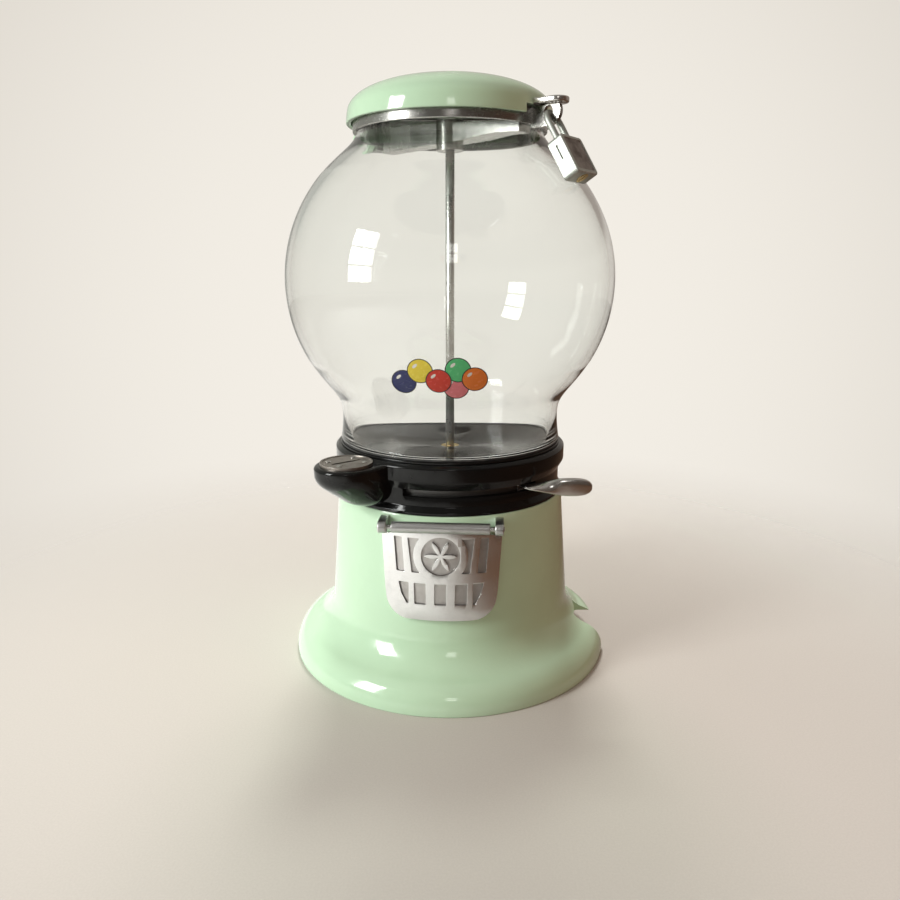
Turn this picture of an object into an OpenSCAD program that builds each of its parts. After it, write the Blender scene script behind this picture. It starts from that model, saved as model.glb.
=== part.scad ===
// Countertop candy vending machine: cast base, mechanism drum, glass globe, lid and padlock.
// Millimetres, +Z up, front towards -Y, origin on the axis at the bottom of the base.

/* [Base] */
// Radius of the bottom rim
base_r = 114; // [106:1:122]
// Height of the base casting
base_h = 120; // [112:1:130]
// Radius at the top of the base
neck_r = 80; // [79:0.5:82]
// Radius where the neck meets the flare
waist_r = 86; // [84:0.5:89]
// Angle of the neck's side from upright, in degrees
neck_taper = 5; // [3:0.5:7]
// Radius of the hollow curve of the flare
flare_r = 26; // [22:1:32]
// Radius of the round curve of the skirt
skirt_r = 18; // [15:1:22]
// Height of the upright lip at the bottom rim
lip_h = 2; // [1:0.5:4]
// Wall thickness of the base casting
base_wall = 4.5; // [3.5:0.5:6]
// Thickness of the flange that carries the drum
base_top_t = 5; // [4:0.5:7]
// Radius of the hole in that flange
base_top_hole_r = 62; // [58:1:64]
// First angle of the hook recess
recess_from = -9; // [-14:1:-5]
// Last angle of the hook recess
recess_to = 30; // [20:1:36]
// Depth of the hook recess from the bottom rim
recess_depth = 21; // [18:1:23]
// Height of the hook recess
recess_h = 16.5; // [14:0.5:18]
// Width of the slot that leads into the hook recess, as an angle
recess_way = 15; // [12:1:18]

/* [Bottom plate] */
// Thickness of the bottom plate
plate_bottom_t = 2.5; // [2:0.5:4]
// Height of the bottom plate above the counter
plate_bottom_z = 3; // [2.6:0.1:4]
// Distance of the bottom screws from the bottom rim
bottom_screw_inset = 13; // [12:0.5:15]
// Shank radius of the bottom screws
bottom_screw_r = 2; // [1.5:0.5:2.5]

/* [Delivery flap] */
// Width of the flap
flap_w = 77; // [70:1:84]
// Width of the flap just above its round bottom corners
flap_low_w = 71.5; // [64:0.5:74]
// Height from the hinge axis to the bottom edge
flap_h = 61; // [56:1:66]
// Thickness of the flap
flap_t = 3.2; // [2.5:0.1:4]
// Radius of the flap's bottom corners
flap_corner_r = 15; // [10:1:20]
// Radius of the hinge barrel
barrel_r = 3.6; // [3:0.1:4]
// Length of the hinge barrel
barrel_len = 62; // [56:1:66]
// Depth of the hinge axis below the top of the base
flap_axis_drop = 5.5; // [5:0.1:8]
// Radius of the flap's hinge pin
flap_pin_r = 1.5; // [1:0.1:2]
// Width of a hinge lug
flap_lug_w = 5.5; // [4:0.5:7]
// Depth of the sunk panels in the flap
panel_depth = 1.2; // [0.8:0.1:1.6]
// Radius of the round panel
rosette_r = 12.4; // [10:0.2:13]
// Width of the delivery mouth behind the flap
mouth_w = 54; // [48:1:56]
// Height of the delivery mouth
mouth_h = 44; // [38:1:46]
// Depth of the top of the mouth below the top of the base
mouth_drop = 14; // [13:1:17]

/* [Cash door] */
// Angle that the cash door spans
door_span = 80; // [64:1:90]
// Height of the bottom edge of the door's opening
door_z = 42; // [41:1:46]
// Height of the door's opening
door_h = 50; // [46:1:56]
// Gap round the door
door_gap = 0.6; // [0.4:0.1:1]
// Angle from the door's edge to its hinge
door_hinge_step = 8; // [8:0.5:10]
// Distance of the door's hinge axis outside the base
door_hinge_out = 8.5; // [8:0.5:10]
// Radius of the door's hinge knuckles
door_knuckle_r = 4.5; // [4:0.5:5]
// Radius of the door's hinge pin
door_pin_r = 2; // [1.5:0.1:2.5]
// Radius of the door lock's body
door_lock_r = 8; // [7:0.5:9]
// Radius of the door lock's plug
door_plug_r = 5.5; // [4.5:0.5:6]
// Length of the lock's cam
cam_len = 20; // [18:1:22]

/* [Drum] */
// Inside radius of the drum
drum_bore_r = 72.5; // [71:0.5:73.5]
// Wall thickness of the drum
drum_wall = 5; // [4:0.5:6]
// Height of the drum
drum_h = 33; // [32:0.5:38]
// Thickness of the drum's floor
floor_t = 4; // [3:0.5:5]
// Overhang of the drum's upper flange
flange_out = 3.5; // [2.5:0.5:4.5]
// Height of the drum's upper flange
flange_h = 11; // [9:0.5:12]
// Radius of the circle of bolts between drum and base
drum_bolt_ring_r = 68; // [67:0.5:70]
// Shank radius of those bolts
drum_bolt_r = 2.4; // [2:0.1:3]

/* [Coin boss] */
// Angle of the coin boss round the drum
boss_a = -129.5; // [-133:0.5:-126]
// Distance of the boss's centre from the axis
boss_reach = 95; // [93:1:98]
// Radius of the boss
boss_r = 20.5; // [19:0.5:22]
// Depth of the round bottom of the boss
boss_bowl = 13; // [11:1:15]
// Rise of the boss's bottom from the drum to its outer end
boss_lift = 11; // [9:0.5:12]
// Radius of the coin plate
coin_plate_r = 16.7; // [15:0.1:17.5]
// Thickness of the coin plate
coin_plate_t = 2; // [1.5:0.1:2.5]
// Length of the coin slot
coin_slot_len = 21; // [20:0.5:22]
// Width of the coin slot
coin_slot_w = 2.4; // [2:0.1:3]
// Turn of the coin slot from the radial line
coin_slot_turn = -9; // [-15:1:15]

/* [Lever] */
// Angle of the lever round the drum at rest
lever_a = -44.3; // [-48:0.1:-40]
// Swing of the lever, one pocket of the wheel
lever_stroke = 60; // [50:1:62]
// Height of the lever bar above the drum's floor
lever_rise = 10; // [9.5:0.5:11]
// Width of the lever bar
lever_w = 10; // [8:0.5:11]
// Thickness of the lever bar
lever_t = 3; // [2.5:0.1:3.5]
// Height of the thumb paddle
paddle_h = 12.5; // [11:0.5:13]
// Thickness of the thumb paddle
paddle_t = 5; // [4:0.5:6]
// Length of the handle from its bend to its tip
handle_len = 39; // [34:1:44]
// Sideways angle of the handle from the radial line
handle_turn = 48; // [42:1:54]

/* [Vend wheel] */
// Number of candy pockets
pockets = 6; // [6]
// Radius of a candy pocket
pocket_r = 11.5; // [9:0.5:12]
// Radius of the circle of pockets
pocket_ring_r = 47; // [45:1:48]
// Radius of the vend wheel
wheel_r = 62.5; // [61.5:0.5:63]
// Thickness of the vend wheel
wheel_t = 11.3; // [10:0.1:12]
// Radius of the wheel's bush
bush_r = 6.5; // [5.5:0.5:8]
// Height of the carrier ring
ring_h = 12; // [11:0.5:13]

/* [Globe] */
// Largest radius of the globe
globe_r = 110.5; // [104:0.5:116]
// Height of the globe's round part, as a share of its width
globe_flat = 0.96; // [0.92:0.01:1]
// Height of the straight part above the foot
glass_waist_h = 28.1; // [24:0.1:32]
// Height of the globe's neck
glass_neck_h = 13.9; // [13:0.1:16]
// Glass thickness
glass_t = 4; // [3:0.5:5]
// Radius of the globe's foot
foot_r = 77; // [76.5:0.1:77.5]
// Radius above the foot
glass_waist_r = 75.3; // [74:0.1:76]
// Radius of the globe's neck
glass_neck_r = 59.8; // [57:0.1:61]
// Radius of the centre rod
rod_r = 3; // [2.5:0.1:3.5]

/* [Collar and lid] */
// Gap between the globe's neck and the collar
collar_gap = 0.9; // [0.5:0.1:1.2]
// Wall thickness of the collar
collar_t = 2.5; // [2:0.1:3]
// Depth of the collar's skirt
collar_skirt = 10; // [9:0.1:12]
// Width of the chamfer on the collar's top edge
collar_edge = 1; // [0.6:0.1:1.4]
// Inside radius of the collar's lip
collar_in_r = 50; // [48:1:52]
// Angle of the hasp round the lid
hasp_a = -32.7; // [-36:0.1:-30]
// Gap between the collar and the lid's side
lid_side_gap = 0.5; // [0.4:0.1:1]
// Overhang of the lid's rim past its side
lid_rim_out = 0.6; // [0.4:0.1:1.5]
// Height of the lid's straight side
lid_side_h = 6; // [5.5:0.5:8]
// Height of the lid's crown
crown_h = 22; // [20:0.5:25]
// Squareness of the crown's curve
crown_power = 2.2; // [2:0.1:2.6]
// Wall thickness of the lid
lid_t = 3; // [2.5:0.1:3.5]
// Depth of the lid's rim below the collar's lip
lid_drop = 5.2; // [5:0.1:6]
// Distance from the ear's hole to the end of the hasp tab
tab_past = 12; // [10:1:16]
// Distance of the ear's hole outside the collar
ear_out = 10.8; // [10:0.1:13]
// Radius of the ear's hole
ear_hole_r = 3.2; // [3:0.1:3.6]
// Thickness of the hasp ear
ear_t = 3.5; // [3:0.5:5]
// Distance of the lid's hinge axis outside the lid's rim
lid_axis_out = 1.2; // [1:0.1:2.5]
// Radius of the lid's hinge pin
lid_pin_r = 1.5; // [1.2:0.1:1.8]

/* [Padlock] */
// Width of the padlock's case
case_w = 26; // [22:1:30]
// Length of the case
case_len = 25.5; // [22:0.5:27]
// Thickness of the case
case_t = 10.5; // [9:0.5:11]
// Radius of the shackle's wire
wire_r = 1.95; // [1.7:0.05:2.2]
// Radius of the shackle's bend
bend_r = 7; // [6:0.5:8]
// Distance from the top of the shackle to the case
shackle_len = 19; // [17:0.5:21]
// Gap between the padlock's case and the globe it leans towards
lean_gap = 1.5; // [1:0.1:3]
// Radius of the key plug
key_plug_r = 3.8; // [3:0.1:4]
// Travel of the case when the shackle is released
release_travel = 8; // [6:0.5:9]

/* [Fits] */
// Gap between parts that move past each other
run_gap = 0.3; // [0.3:0.05:0.5]
// Radial clearance of a pin in its bore
pin_gap = 0.05; // [0.03:0.01:0.08]
// Gap between a sliding part and the wall beside it
side_gap = 0.6; // [0.5:0.1:0.8]

/* [Hidden] */
$fn = 96;
hull_fn = 32;
curve_steps = 16;
over = 1;

// Base profile
flare_turn = acos((flare_r*cos(neck_taper) + skirt_r - (base_r - waist_r))/(flare_r + skirt_r));
waist_z = lip_h + flare_r*(sin(flare_turn) - sin(neck_taper)) + skirt_r*sin(flare_turn);
flare_c = [waist_r + flare_r*cos(neck_taper), waist_z + flare_r*sin(neck_taper)];
skirt_c = [base_r - skirt_r, lip_h];
recess_r = base_r - recess_depth;
recess_liner = 4;
recess_round = 4.5;
chute_cut_w = 80;
chute_cut_from = 30;

// Bottom plate
bottom_screw_ring_r = base_r - bottom_screw_inset;
bottom_screw_as = [62, 152, 236, 306];
bottom_screw_spare = 0.5;
screw_gap = 0.1;
bottom_boss_r = 6;
bottom_boss_h = 7;
bottom_head_r = 4;
bottom_head_h = 2.3;
bottom_screw_len = 6;
plate_bottom_r = base_r - base_wall - 1;

// Delivery flap
flap_axis_z = base_h - flap_axis_drop;
flap_gap = 0.8;
flap_axis_y = neck_at(flap_axis_z) + run_gap + barrel_r + 0.1;
flap_shoulder = 6.5;
flap_web_h = 4.5;
flap_lug_x = barrel_len/2 + 3;
flap_lug_r = 4;
flap_bottom_z = flap_axis_z - flap_h;
mouth_z = base_h - mouth_drop - mouth_h;
panel_k = flap_w/77;
panel_w = 5.2;
panel_h = 22.4;
panel_z = -29.9;
panel_side_x = 25.9*panel_k;
panel_lean = 1.7;
panel_in_x = 11*panel_k;
panel_out_x = [18.5*panel_k, 21.2*panel_k];
panel_hollow_r = 17.4;
low_panel_h = 13.7;
low_panel_z = -50.5;
low_panel_w = 7.6;
low_panel_step = 12.9*panel_k;
low_side_x = [20.5*panel_k, 22*panel_k, 27.2*panel_k];
rosette_z = -18.6;
petal_r = rosette_r - 1.6;

// Cash door
rear_a = 90;
front_a = -90;
door_from = rear_a - door_span/2;
door_to = rear_a + door_span/2;
door_mid_z = door_z + door_h/2;
door_hinge_a = door_to + door_hinge_step;
door_hinge_r = neck_at(door_mid_z) + door_hinge_out;
door_lug_h = 10;
door_lug_inset = 4;
door_knuckle_z = door_z + door_lug_inset + door_lug_h + run_gap + 0.1;
door_knuckle_h = door_h - 2*(door_lug_inset + door_lug_h + run_gap + 0.1);
door_angle_gap = door_gap/waist_r*180/PI;
door_arm_from = sin(door_hinge_step)*neck_at(door_mid_z) + door_gap + 0.6;
door_arm_w = 6;
lock_z = door_z + door_h - 14;
lock_out_y = neck_at(lock_z) + 2.5;
lock_in_y = neck_at(lock_z) - base_wall - 2;
lock_boss_r = door_lock_r + 2.5;
cam_t = 3;
cam_w = 10;
cam_y = lock_in_y - 1 - cam_t;

// Drum
floor_z = base_h + floor_t;
drum_top_z = base_h + drum_h;
drum_r = drum_bore_r + drum_wall;
flange_r = drum_r + flange_out;
flange_slope = 6;
flange_edge = 2;
drum_foot_h = 2;
drum_step_h = 5.5;
bolt_spare = 0.5;
drum_foot_r = neck_r - 0.5;
drum_bolt_as = [-25, 45, 120, 200];
drum_bolt_head_r = 4.5;
drum_bolt_head_h = 3.5;
hub_step = 1;
hub_r = 14;

// Hopper and gaskets
hopper_rim_t = 1.7;
hopper_rim_r = foot_r + 0.5;
hopper_in_r = drum_bore_r - 2;
hopper_hub_r = 15;
hopper_hub_z = drum_top_z - 8.5;
hopper_t = 2.4;
throat_t = 2;
throat_r = pocket_r + 1.5;
gasket_t = 1.6;

// Wheel, ring and lever
wheel_z = floor_z + hub_step + run_gap;
wheel_top_z = wheel_z + wheel_t;
ring_z = floor_z + run_gap;
ring_top_z = ring_z + ring_h;
ring_in_r = wheel_r + side_gap + 0.5;
ring_out_r = drum_bore_r - side_gap + 0.2;
coin_w = 3.2;
coin_bite = 5.5;
outlet_r = pocket_r + 0.7;
lever_z = floor_z + lever_rise;
lever_root_z = lever_z - lever_t/2 - 2.5;
lever_slot_h = lever_t + 2;
lever_slot_slack = 4.5;
lever_bend_r = drum_r + 3;
lever_screw_r = 1.6;
lever_screw_head_r = 3;
lever_screw_head_h = 1.6;
lever_root_in = ring_in_r + 1;
spring_r = (ring_in_r + ring_out_r)/2;
spring_wire_r = 2.6;
spring_z = ring_top_z + 6.2;
spring_from = 8;
spring_to = 62;
post_r = 1.2;

// Coin boss
boss_drop = 1.5;
boss_rise = 2;
boss_root_r = drum_r + 2.5;
boss_top_z = drum_top_z - boss_drop;
boss_bottom_z = base_h + boss_rise;
coin_rim_w = 1.2;
coin_rim_h = 0.4;
coin_screw_len = 3;
coin_channel_drop = 12;
coin_channel_low = 3;
coin_channel_high = 22;
coin_screw_ring_r = 11.5;
coin_screw_r = 1;
coin_screw_head_r = 1.7;
coin_screw_head_h = 0.7;
coin_screw_as = [38, 142, 218, 322];

// Chute
chute_w = mouth_w - 4;
chute_t = 1.5;
chute_back_y = -(pocket_ring_r - outlet_r - 2);
chute_front_y = -(neck_at(mouth_z) - base_wall - 1);
chute_sill_z = mouth_z + 3;
chute_turn_z = mouth_z + 24;
chute_lip_h = 12.5;
chute_tab_w = 13;
chute_tab_len = 16;
chute_tab_y = -52;
chute_tab_t = 1.6;
chute_screw_r = 1.6;
chute_screw_head_r = 3.2;
chute_screw_head_h = 2.2;

// Globe
globe_half_h = globe_r*globe_flat;
globe_z = drum_top_z + hopper_rim_t + gasket_t;
globe_mid_z = globe_z + glass_waist_h + globe_half_h*sqrt(1 - pow(glass_waist_r/globe_r, 2));
globe_top_z = globe_mid_z + globe_half_h*sqrt(1 - pow(glass_neck_r/globe_r, 2)) + glass_neck_h;
foot_h = 3;
foot_slope_h = 5;

// Collar, rod and lid
neck_gasket_t = 1.2;
lip_z = globe_top_z + neck_gasket_t;
lip_t = 3;
collar_r = glass_neck_r + collar_gap + collar_t;
lid_r = collar_r + lid_side_gap + lid_t;
lid_rim_r = lid_r + lid_rim_out;
lid_axis_reach = lid_rim_r + lid_axis_out;
ear_reach = collar_r + ear_out;
tab_reach = ear_reach + tab_past;
yoke_w = 12;
yoke_z = lip_z - 16;
yoke_t = 7;
yoke_leg_out_r = glass_neck_r - glass_t - 0.8;
rod_hub_r = 9;
rod_hub_z = lip_z - 20;
rod_hub_h = 14;
washer_r = 8.5;
washer_t = 1.6;
nut_h = 5.4;
nut_r = 6.35;
rod_bottom_z = base_h - washer_t - nut_h - 2;
rod_top_z = rod_hub_z + rod_hub_h + washer_t + nut_h + 1.5;
lid_z = lip_z - lid_drop;
crown_z = lid_z + lid_side_h;
lid_band_h = 2.5;
tab_z = lip_z + 0.1;
tab_t = 3.4;
tab_w = 14;
ear_z = lip_z - 3.9;
ear_round_r = 8;
ear_top_z = tab_z - run_gap - 0.1;
hasp_notch = 11;
lid_axis_z = lip_z - 8.7;
lid_lug_w = 15;
lid_lug_r = 3.3;
lid_knuckle_r = 3.6;
lid_knuckle_w = 8;
lid_knuckle_x = lid_lug_w/2 + run_gap + 0.2;
lid_arm_in = lid_rim_r - 3.7;
lid_arm_top = lid_z + 3.5;
lid_pin_len = 2*(lid_knuckle_x + lid_knuckle_w) + 2;

// Padlock
wire_sit = 1;
swing_z = ear_z - wire_sit;
lean_r = (globe_r + globe_half_h)/2 + case_t/2 + lean_gap;
lean_d = sqrt(pow(ear_reach, 2) + pow(swing_z - globe_mid_z, 2));
hang = 180 - atan2(swing_z - globe_mid_z, ear_reach) - asin(lean_r/lean_d);
case_from = shackle_len;
long_leg = 11;
short_leg = 6;
case_round = 2.5;
leg_gap = 0.08;
plug_len = 8.5;
plug_proud = 0.3;
keyway_w = 1.2;

// Radius of the base's outside at a height on its straight neck
function neck_at(z) = neck_r + (waist_r - neck_r)*(base_h - z)/(base_h - waist_z);

// Points of a circular arc in a plane, from angle a0 to angle a1
function arc(c, r, a0, a1, n = curve_steps) =
    [for (i = [0:n]) c + r*[cos(a0 + (a1 - a0)*i/n), sin(a0 + (a1 - a0)*i/n)]];

// The same list from its last point to its first
function backwards(list) = [for (i = [len(list) - 1:-1:0]) list[i]];

// Base profile from top to bottom, moved inwards by t
function bell(t) = concat([[neck_r - t, base_h]],
    arc(flare_c, flare_r + t, 180 + neck_taper, 180 + flare_turn),
    arc(skirt_c, skirt_r - t, flare_turn, 0),
    [[base_r - t, 0]]);

// Globe profile from foot to neck, moved inwards by t
function globe_side(t) = let (r = globe_r - t, h = globe_half_h - t,
        low = -acos((glass_waist_r - t)/r), high = acos((glass_neck_r - t)/r))
    concat([for (i = [0:4*curve_steps]) let (a = low + (high - low)*i/(4*curve_steps))
        [r*cos(a), globe_mid_z + h*sin(a)]], [[glass_neck_r - t, globe_top_z]]);

// Lid profile from rim to crown, moved inwards by t
function lid_side(t) = concat([[lid_rim_r - t, lid_z], [lid_rim_r - t, lid_z + lid_band_h]],
    [for (i = [0:2*curve_steps]) let (a = 90*i/(2*curve_steps))
        [(lid_r - t)*pow(cos(a), 2/crown_power), crown_z + (crown_h - t)*pow(sin(a), 2/crown_power)]]);

// Outline of a rectangle with round corners, centred
function round_box(w, h, r) = concat(
    arc([w/2 - r, h/2 - r], r, 0, 90, 6), arc([r - w/2, h/2 - r], r, 90, 180, 6),
    arc([r - w/2, r - h/2], r, 180, 270, 6), arc([w/2 - r, r - h/2], r, 270, 360, 6));

// Turns its children to an angle round the machine's axis
module at(a) {
    rotate([0, 0, a]) children();
}

// A ring of rectangular section between two angles
module sector(r0, r1, z0, z1, a0, a1) {
    at(a0) rotate_extrude(angle = a1 - a0)
        translate([r0, z0]) square([r1 - r0, z1 - z0]);
}

// A ring of rectangular section all the way round
module ring(r0, r1, z0, z1) {
    translate([0, 0, z0]) difference() {
        cylinder(r = r1, h = z1 - z0);
        translate([0, 0, -over]) cylinder(r = r0, h = z1 - z0 + 2*over);
    }
}

// A cylinder along X, centred on the origin
module rod_x(r, len) {
    rotate([0, 90, 0]) cylinder(r = r, h = len, center = true);
}

// A cylinder along Y from y0 to y1
module rod_y(r, y0, y1) {
    translate([0, y0, 0]) rotate([-90, 0, 0]) cylinder(r = r, h = y1 - y0);
}

// Solid between the base's outside, moved inwards by t, and the axis
module bell_solid(t) {
    rotate_extrude() polygon(concat(bell(t), [[0, 0], [0, base_h]]));
}

// Lugs for the flap's hinge pin, reaching out from the base's wall
module flap_lugs() {
    for (side = [-1, 1]) translate([side*(flap_lug_x + flap_lug_w/2), 0, flap_axis_z]) difference() {
        union() {
            translate([-flap_lug_w/2, -flap_axis_y, -flap_lug_r])
                cube([flap_lug_w, flap_axis_y - neck_r/2 - 20, 2*flap_lug_r]);
            translate([0, -flap_axis_y, 0]) rod_x(flap_lug_r, flap_lug_w);
        }
        translate([0, -flap_axis_y, 0]) rod_x(flap_pin_r, flap_lug_w + 2*over);
    }
}

// Two lugs for the cash door's hinge pin
module door_lugs() {
    at(door_hinge_a) for (z = [door_z + door_lug_inset, door_z + door_h - door_lug_inset - door_lug_h])
        translate([0, 0, z]) difference() {
            union() {
                translate([neck_r - base_wall, -door_knuckle_r, 0])
                    cube([door_hinge_r - neck_r + base_wall, 2*door_knuckle_r, door_lug_h]);
                translate([door_hinge_r, 0, 0]) cylinder(r = door_knuckle_r, h = door_lug_h);
            }
            translate([door_hinge_r, 0, -over]) cylinder(r = door_pin_r, h = door_lug_h + 2*over);
        }
}

// Screw bosses that carry the bottom plate
module bottom_bosses() {
    boss_z = plate_bottom_z + plate_bottom_t;
    for (a = bottom_screw_as) at(a) translate([bottom_screw_ring_r, 0, boss_z]) difference() {
        cylinder(r = bottom_boss_r, h = bottom_boss_h);
        translate([0, 0, -over]) cylinder(r = bottom_screw_r, h = bottom_screw_len + over);
    }
}

// Outline of the hook recess, a low pocket with a round inner corner
module recess_outline(grow) {
    r0 = recess_r - grow;
    z1 = recess_h + grow;
    polygon(concat([[r0, -over], [base_r + over, -over], [base_r + over, z1]],
        arc([r0 + recess_round, z1 - recess_round], recess_round, 90, 180, 8)));
}

module base_casting() {
    color("#b9e2b6") difference() {
        union() {
            difference() {
                union() {
                    rotate_extrude() polygon(concat(bell(0), backwards(bell(base_wall))));
                    ring(base_top_hole_r, neck_r - base_wall/2, base_h - base_top_t, base_h);
                    intersection() {
                        bell_solid(0.4);
                        at(recess_from - 2) rotate_extrude(angle = recess_to - recess_from + 4)
                            intersection() {
                                recess_outline(recess_liner);
                                square([base_r, base_h]);
                            }
                    }
                }
                at(recess_from) rotate_extrude(angle = recess_to - recess_from) recess_outline(0);
                sector(recess_r, base_r + over, -over, waist_z, recess_from, recess_from + recess_way);
                sector(base_top_hole_r/2, base_r, door_z, door_z + door_h, door_from, door_to);
                translate([-mouth_w/2, -base_r, mouth_z]) cube([mouth_w, base_r/2, mouth_h]);
                translate([-chute_cut_w/2, -neck_r + base_wall + 1, base_h - base_top_t - over])
                    cube([chute_cut_w, neck_r - base_wall - 1 - chute_cut_from, base_top_t + 2*over]);
            }
            flap_lugs();
            door_lugs();
            bottom_bosses();
        }
        for (a = drum_bolt_as) at(a) translate([drum_bolt_ring_r, 0, base_h - base_top_t - over])
            cylinder(r = drum_bolt_r + screw_gap, h = base_top_t + 2*over);
        at(boss_a - lever_stroke) translate([base_top_hole_r - 6, -coin_w, base_h - base_top_t - over])
            cube([drum_bore_r - base_top_hole_r + 6, 2*coin_w, base_top_t + 2*over]);
    }
}

module bottom_plate() {
    color("#7d7f80") difference() {
        translate([0, 0, plate_bottom_z]) cylinder(r = plate_bottom_r, h = plate_bottom_t);
        for (a = bottom_screw_as) at(a) translate([bottom_screw_ring_r, 0, plate_bottom_z - over])
            cylinder(r = bottom_screw_r + screw_gap, h = plate_bottom_t + 2*over);
        sector(recess_r - recess_liner - 1, base_r, 0, base_h/2, recess_from - 4, recess_to + 4);
    }
}

module bottom_screws() {
    color("#c9c6bd") for (a = bottom_screw_as) at(a) translate([bottom_screw_ring_r, 0, plate_bottom_z]) {
        translate([0, 0, -bottom_head_h]) cylinder(r = bottom_head_r, h = bottom_head_h);
        cylinder(r = bottom_screw_r, h = plate_bottom_t + bottom_screw_len - bottom_screw_spare);
    }
}

// Arm and knuckle that carry the cash door on its hinge pin
module door_knuckle() {
    at(door_hinge_a) translate([0, 0, door_knuckle_z]) {
        translate([door_hinge_r, 0, 0]) cylinder(r = door_knuckle_r, h = door_knuckle_h);
        translate([door_hinge_r - door_knuckle_r, -door_arm_from - door_arm_w, 0])
            cube([2*door_knuckle_r - 1, door_arm_from + door_arm_w, door_knuckle_h]);
        translate([neck_at(door_mid_z) - base_wall + 1, -door_arm_from - door_arm_w, 0])
            cube([door_hinge_r - neck_at(door_mid_z) + base_wall - 1, door_arm_w, door_knuckle_h]);
    }
}

module cash_door() {
    z0 = door_z + door_gap;
    z1 = door_z + door_h - door_gap;
    color("#b9e2b6") difference() {
        union() {
            at(door_from + door_angle_gap) rotate_extrude(angle = door_span - 2*door_angle_gap)
                polygon([[neck_at(z0) - base_wall, z0], [neck_at(z0), z0], [neck_at(z1), z1],
                    [neck_at(z1) - base_wall, z1]]);
            translate([0, 0, lock_z]) rod_y(lock_boss_r, lock_in_y, lock_out_y);
            door_knuckle();
        }
        translate([0, 0, lock_z]) rod_y(door_lock_r, lock_in_y - over, lock_out_y + over);
        at(door_hinge_a) translate([door_hinge_r, 0, door_knuckle_z - over])
            cylinder(r = door_pin_r + pin_gap, h = door_knuckle_h + 2*over);
    }
}

module cash_door_pin() {
    color("#b8b8b4") at(door_hinge_a) translate([door_hinge_r, 0, door_z + door_lug_inset - 1])
        cylinder(r = door_pin_r, h = door_h - 2*door_lug_inset + 2);
}

module cash_lock_body() {
    color("#c2bfb6") translate([0, 0, lock_z]) difference() {
        union() {
            rod_y(door_lock_r, lock_in_y, lock_out_y);
            rod_y(lock_boss_r - 1, lock_out_y, lock_out_y + 1.5);
        }
        rod_y(door_plug_r + pin_gap, lock_in_y - over, lock_out_y + 1.5 + over);
    }
}

module cash_lock_cam() {
    color("#a9a69e") translate([0, 0, lock_z]) difference() {
        union() {
            rod_y(door_plug_r, cam_y, lock_out_y + 1.7);
            rod_y(cam_w/2, cam_y, cam_y + cam_t);
            translate([0, cam_y, -cam_w/2]) cube([cam_len - cam_w/2, cam_t, cam_w]);
            translate([cam_len - cam_w/2, 0, 0]) rod_y(cam_w/2, cam_y, cam_y + cam_t);
        }
        translate([-keyway_w/2, lock_out_y - 4, -door_plug_r + 1.5]) cube([keyway_w, 8, 2*door_plug_r - 3]);
    }
}

// Outline of the flap seen from the front: wide below the lugs, round at the bottom corners
module flap_outline() {
    z0 = -flap_h;
    half = flap_w/2;
    low = flap_low_w/2;
    r = flap_corner_r;
    right = concat([[barrel_len/2, 0], [barrel_len/2, 1 - flap_shoulder], [half, -flap_shoulder - 0.6]],
        [[low + 0.6, z0 + r + 4]], arc([low - r, z0 + r], r, 0, -90, 10));
    polygon(concat(right, [for (p = backwards(right)) [-p[0], p[1]]]));
}

// One upright slot of the flap, at x, from z0 up, with its top moved sideways by lean
module slot(x, w, z0, h, lean) {
    polygon([[x - w/2, z0], [x + w/2, z0], [x + w/2 + lean, z0 + h], [x - w/2 + lean, z0 + h]]);
}

// Six petals round a point, each the overlap of two circles
module petals() {
    for (i = [0:5]) rotate(60*i) intersection() {
        translate([petal_r*cos(60), petal_r*sin(60)]) circle(petal_r);
        translate([petal_r*cos(60), -petal_r*sin(60)]) circle(petal_r);
    }
}

// Sunk panels of the flap, about its hinge axis: a round one with petals left standing, and two rows of slots
module flap_panels() {
    translate([0, rosette_z]) difference() {
        circle(rosette_r);
        petals();
    }
    for (side = [0, 1]) mirror([side, 0]) {
        slot(panel_side_x, panel_w, panel_z, panel_h, panel_lean);
        difference() {
            polygon([[panel_in_x, panel_z], [panel_out_x[0], panel_z], [panel_out_x[1], panel_z + panel_h],
                [panel_in_x, panel_z + panel_h]]);
            translate([0, rosette_z]) circle(panel_hollow_r);
        }
        slot(low_panel_step, low_panel_w, low_panel_z, low_panel_h, 0.4);
        polygon([[low_side_x[0], low_panel_z], [low_side_x[1], low_panel_z],
            [low_side_x[2], low_panel_z + low_panel_h], [low_side_x[0], low_panel_z + low_panel_h]]);
    }
    slot(0, low_panel_w, low_panel_z, low_panel_h, 0);
}

// Cone shell that follows the base's neck at a distance, between two heights
module neck_shell(gap, t, z0, z1) {
    rotate_extrude() polygon([[neck_at(z0) + gap, z0], [neck_at(z1) + gap, z1],
        [neck_at(z1) + gap + t, z1], [neck_at(z0) + gap + t, z0]]);
}

// Extrudes a front view, drawn about the flap's hinge axis, from the axis plane outwards
module front_view() {
    translate([0, 0, flap_axis_z]) rotate([90, 0, 0]) linear_extrude(height = base_r) children();
}

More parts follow.
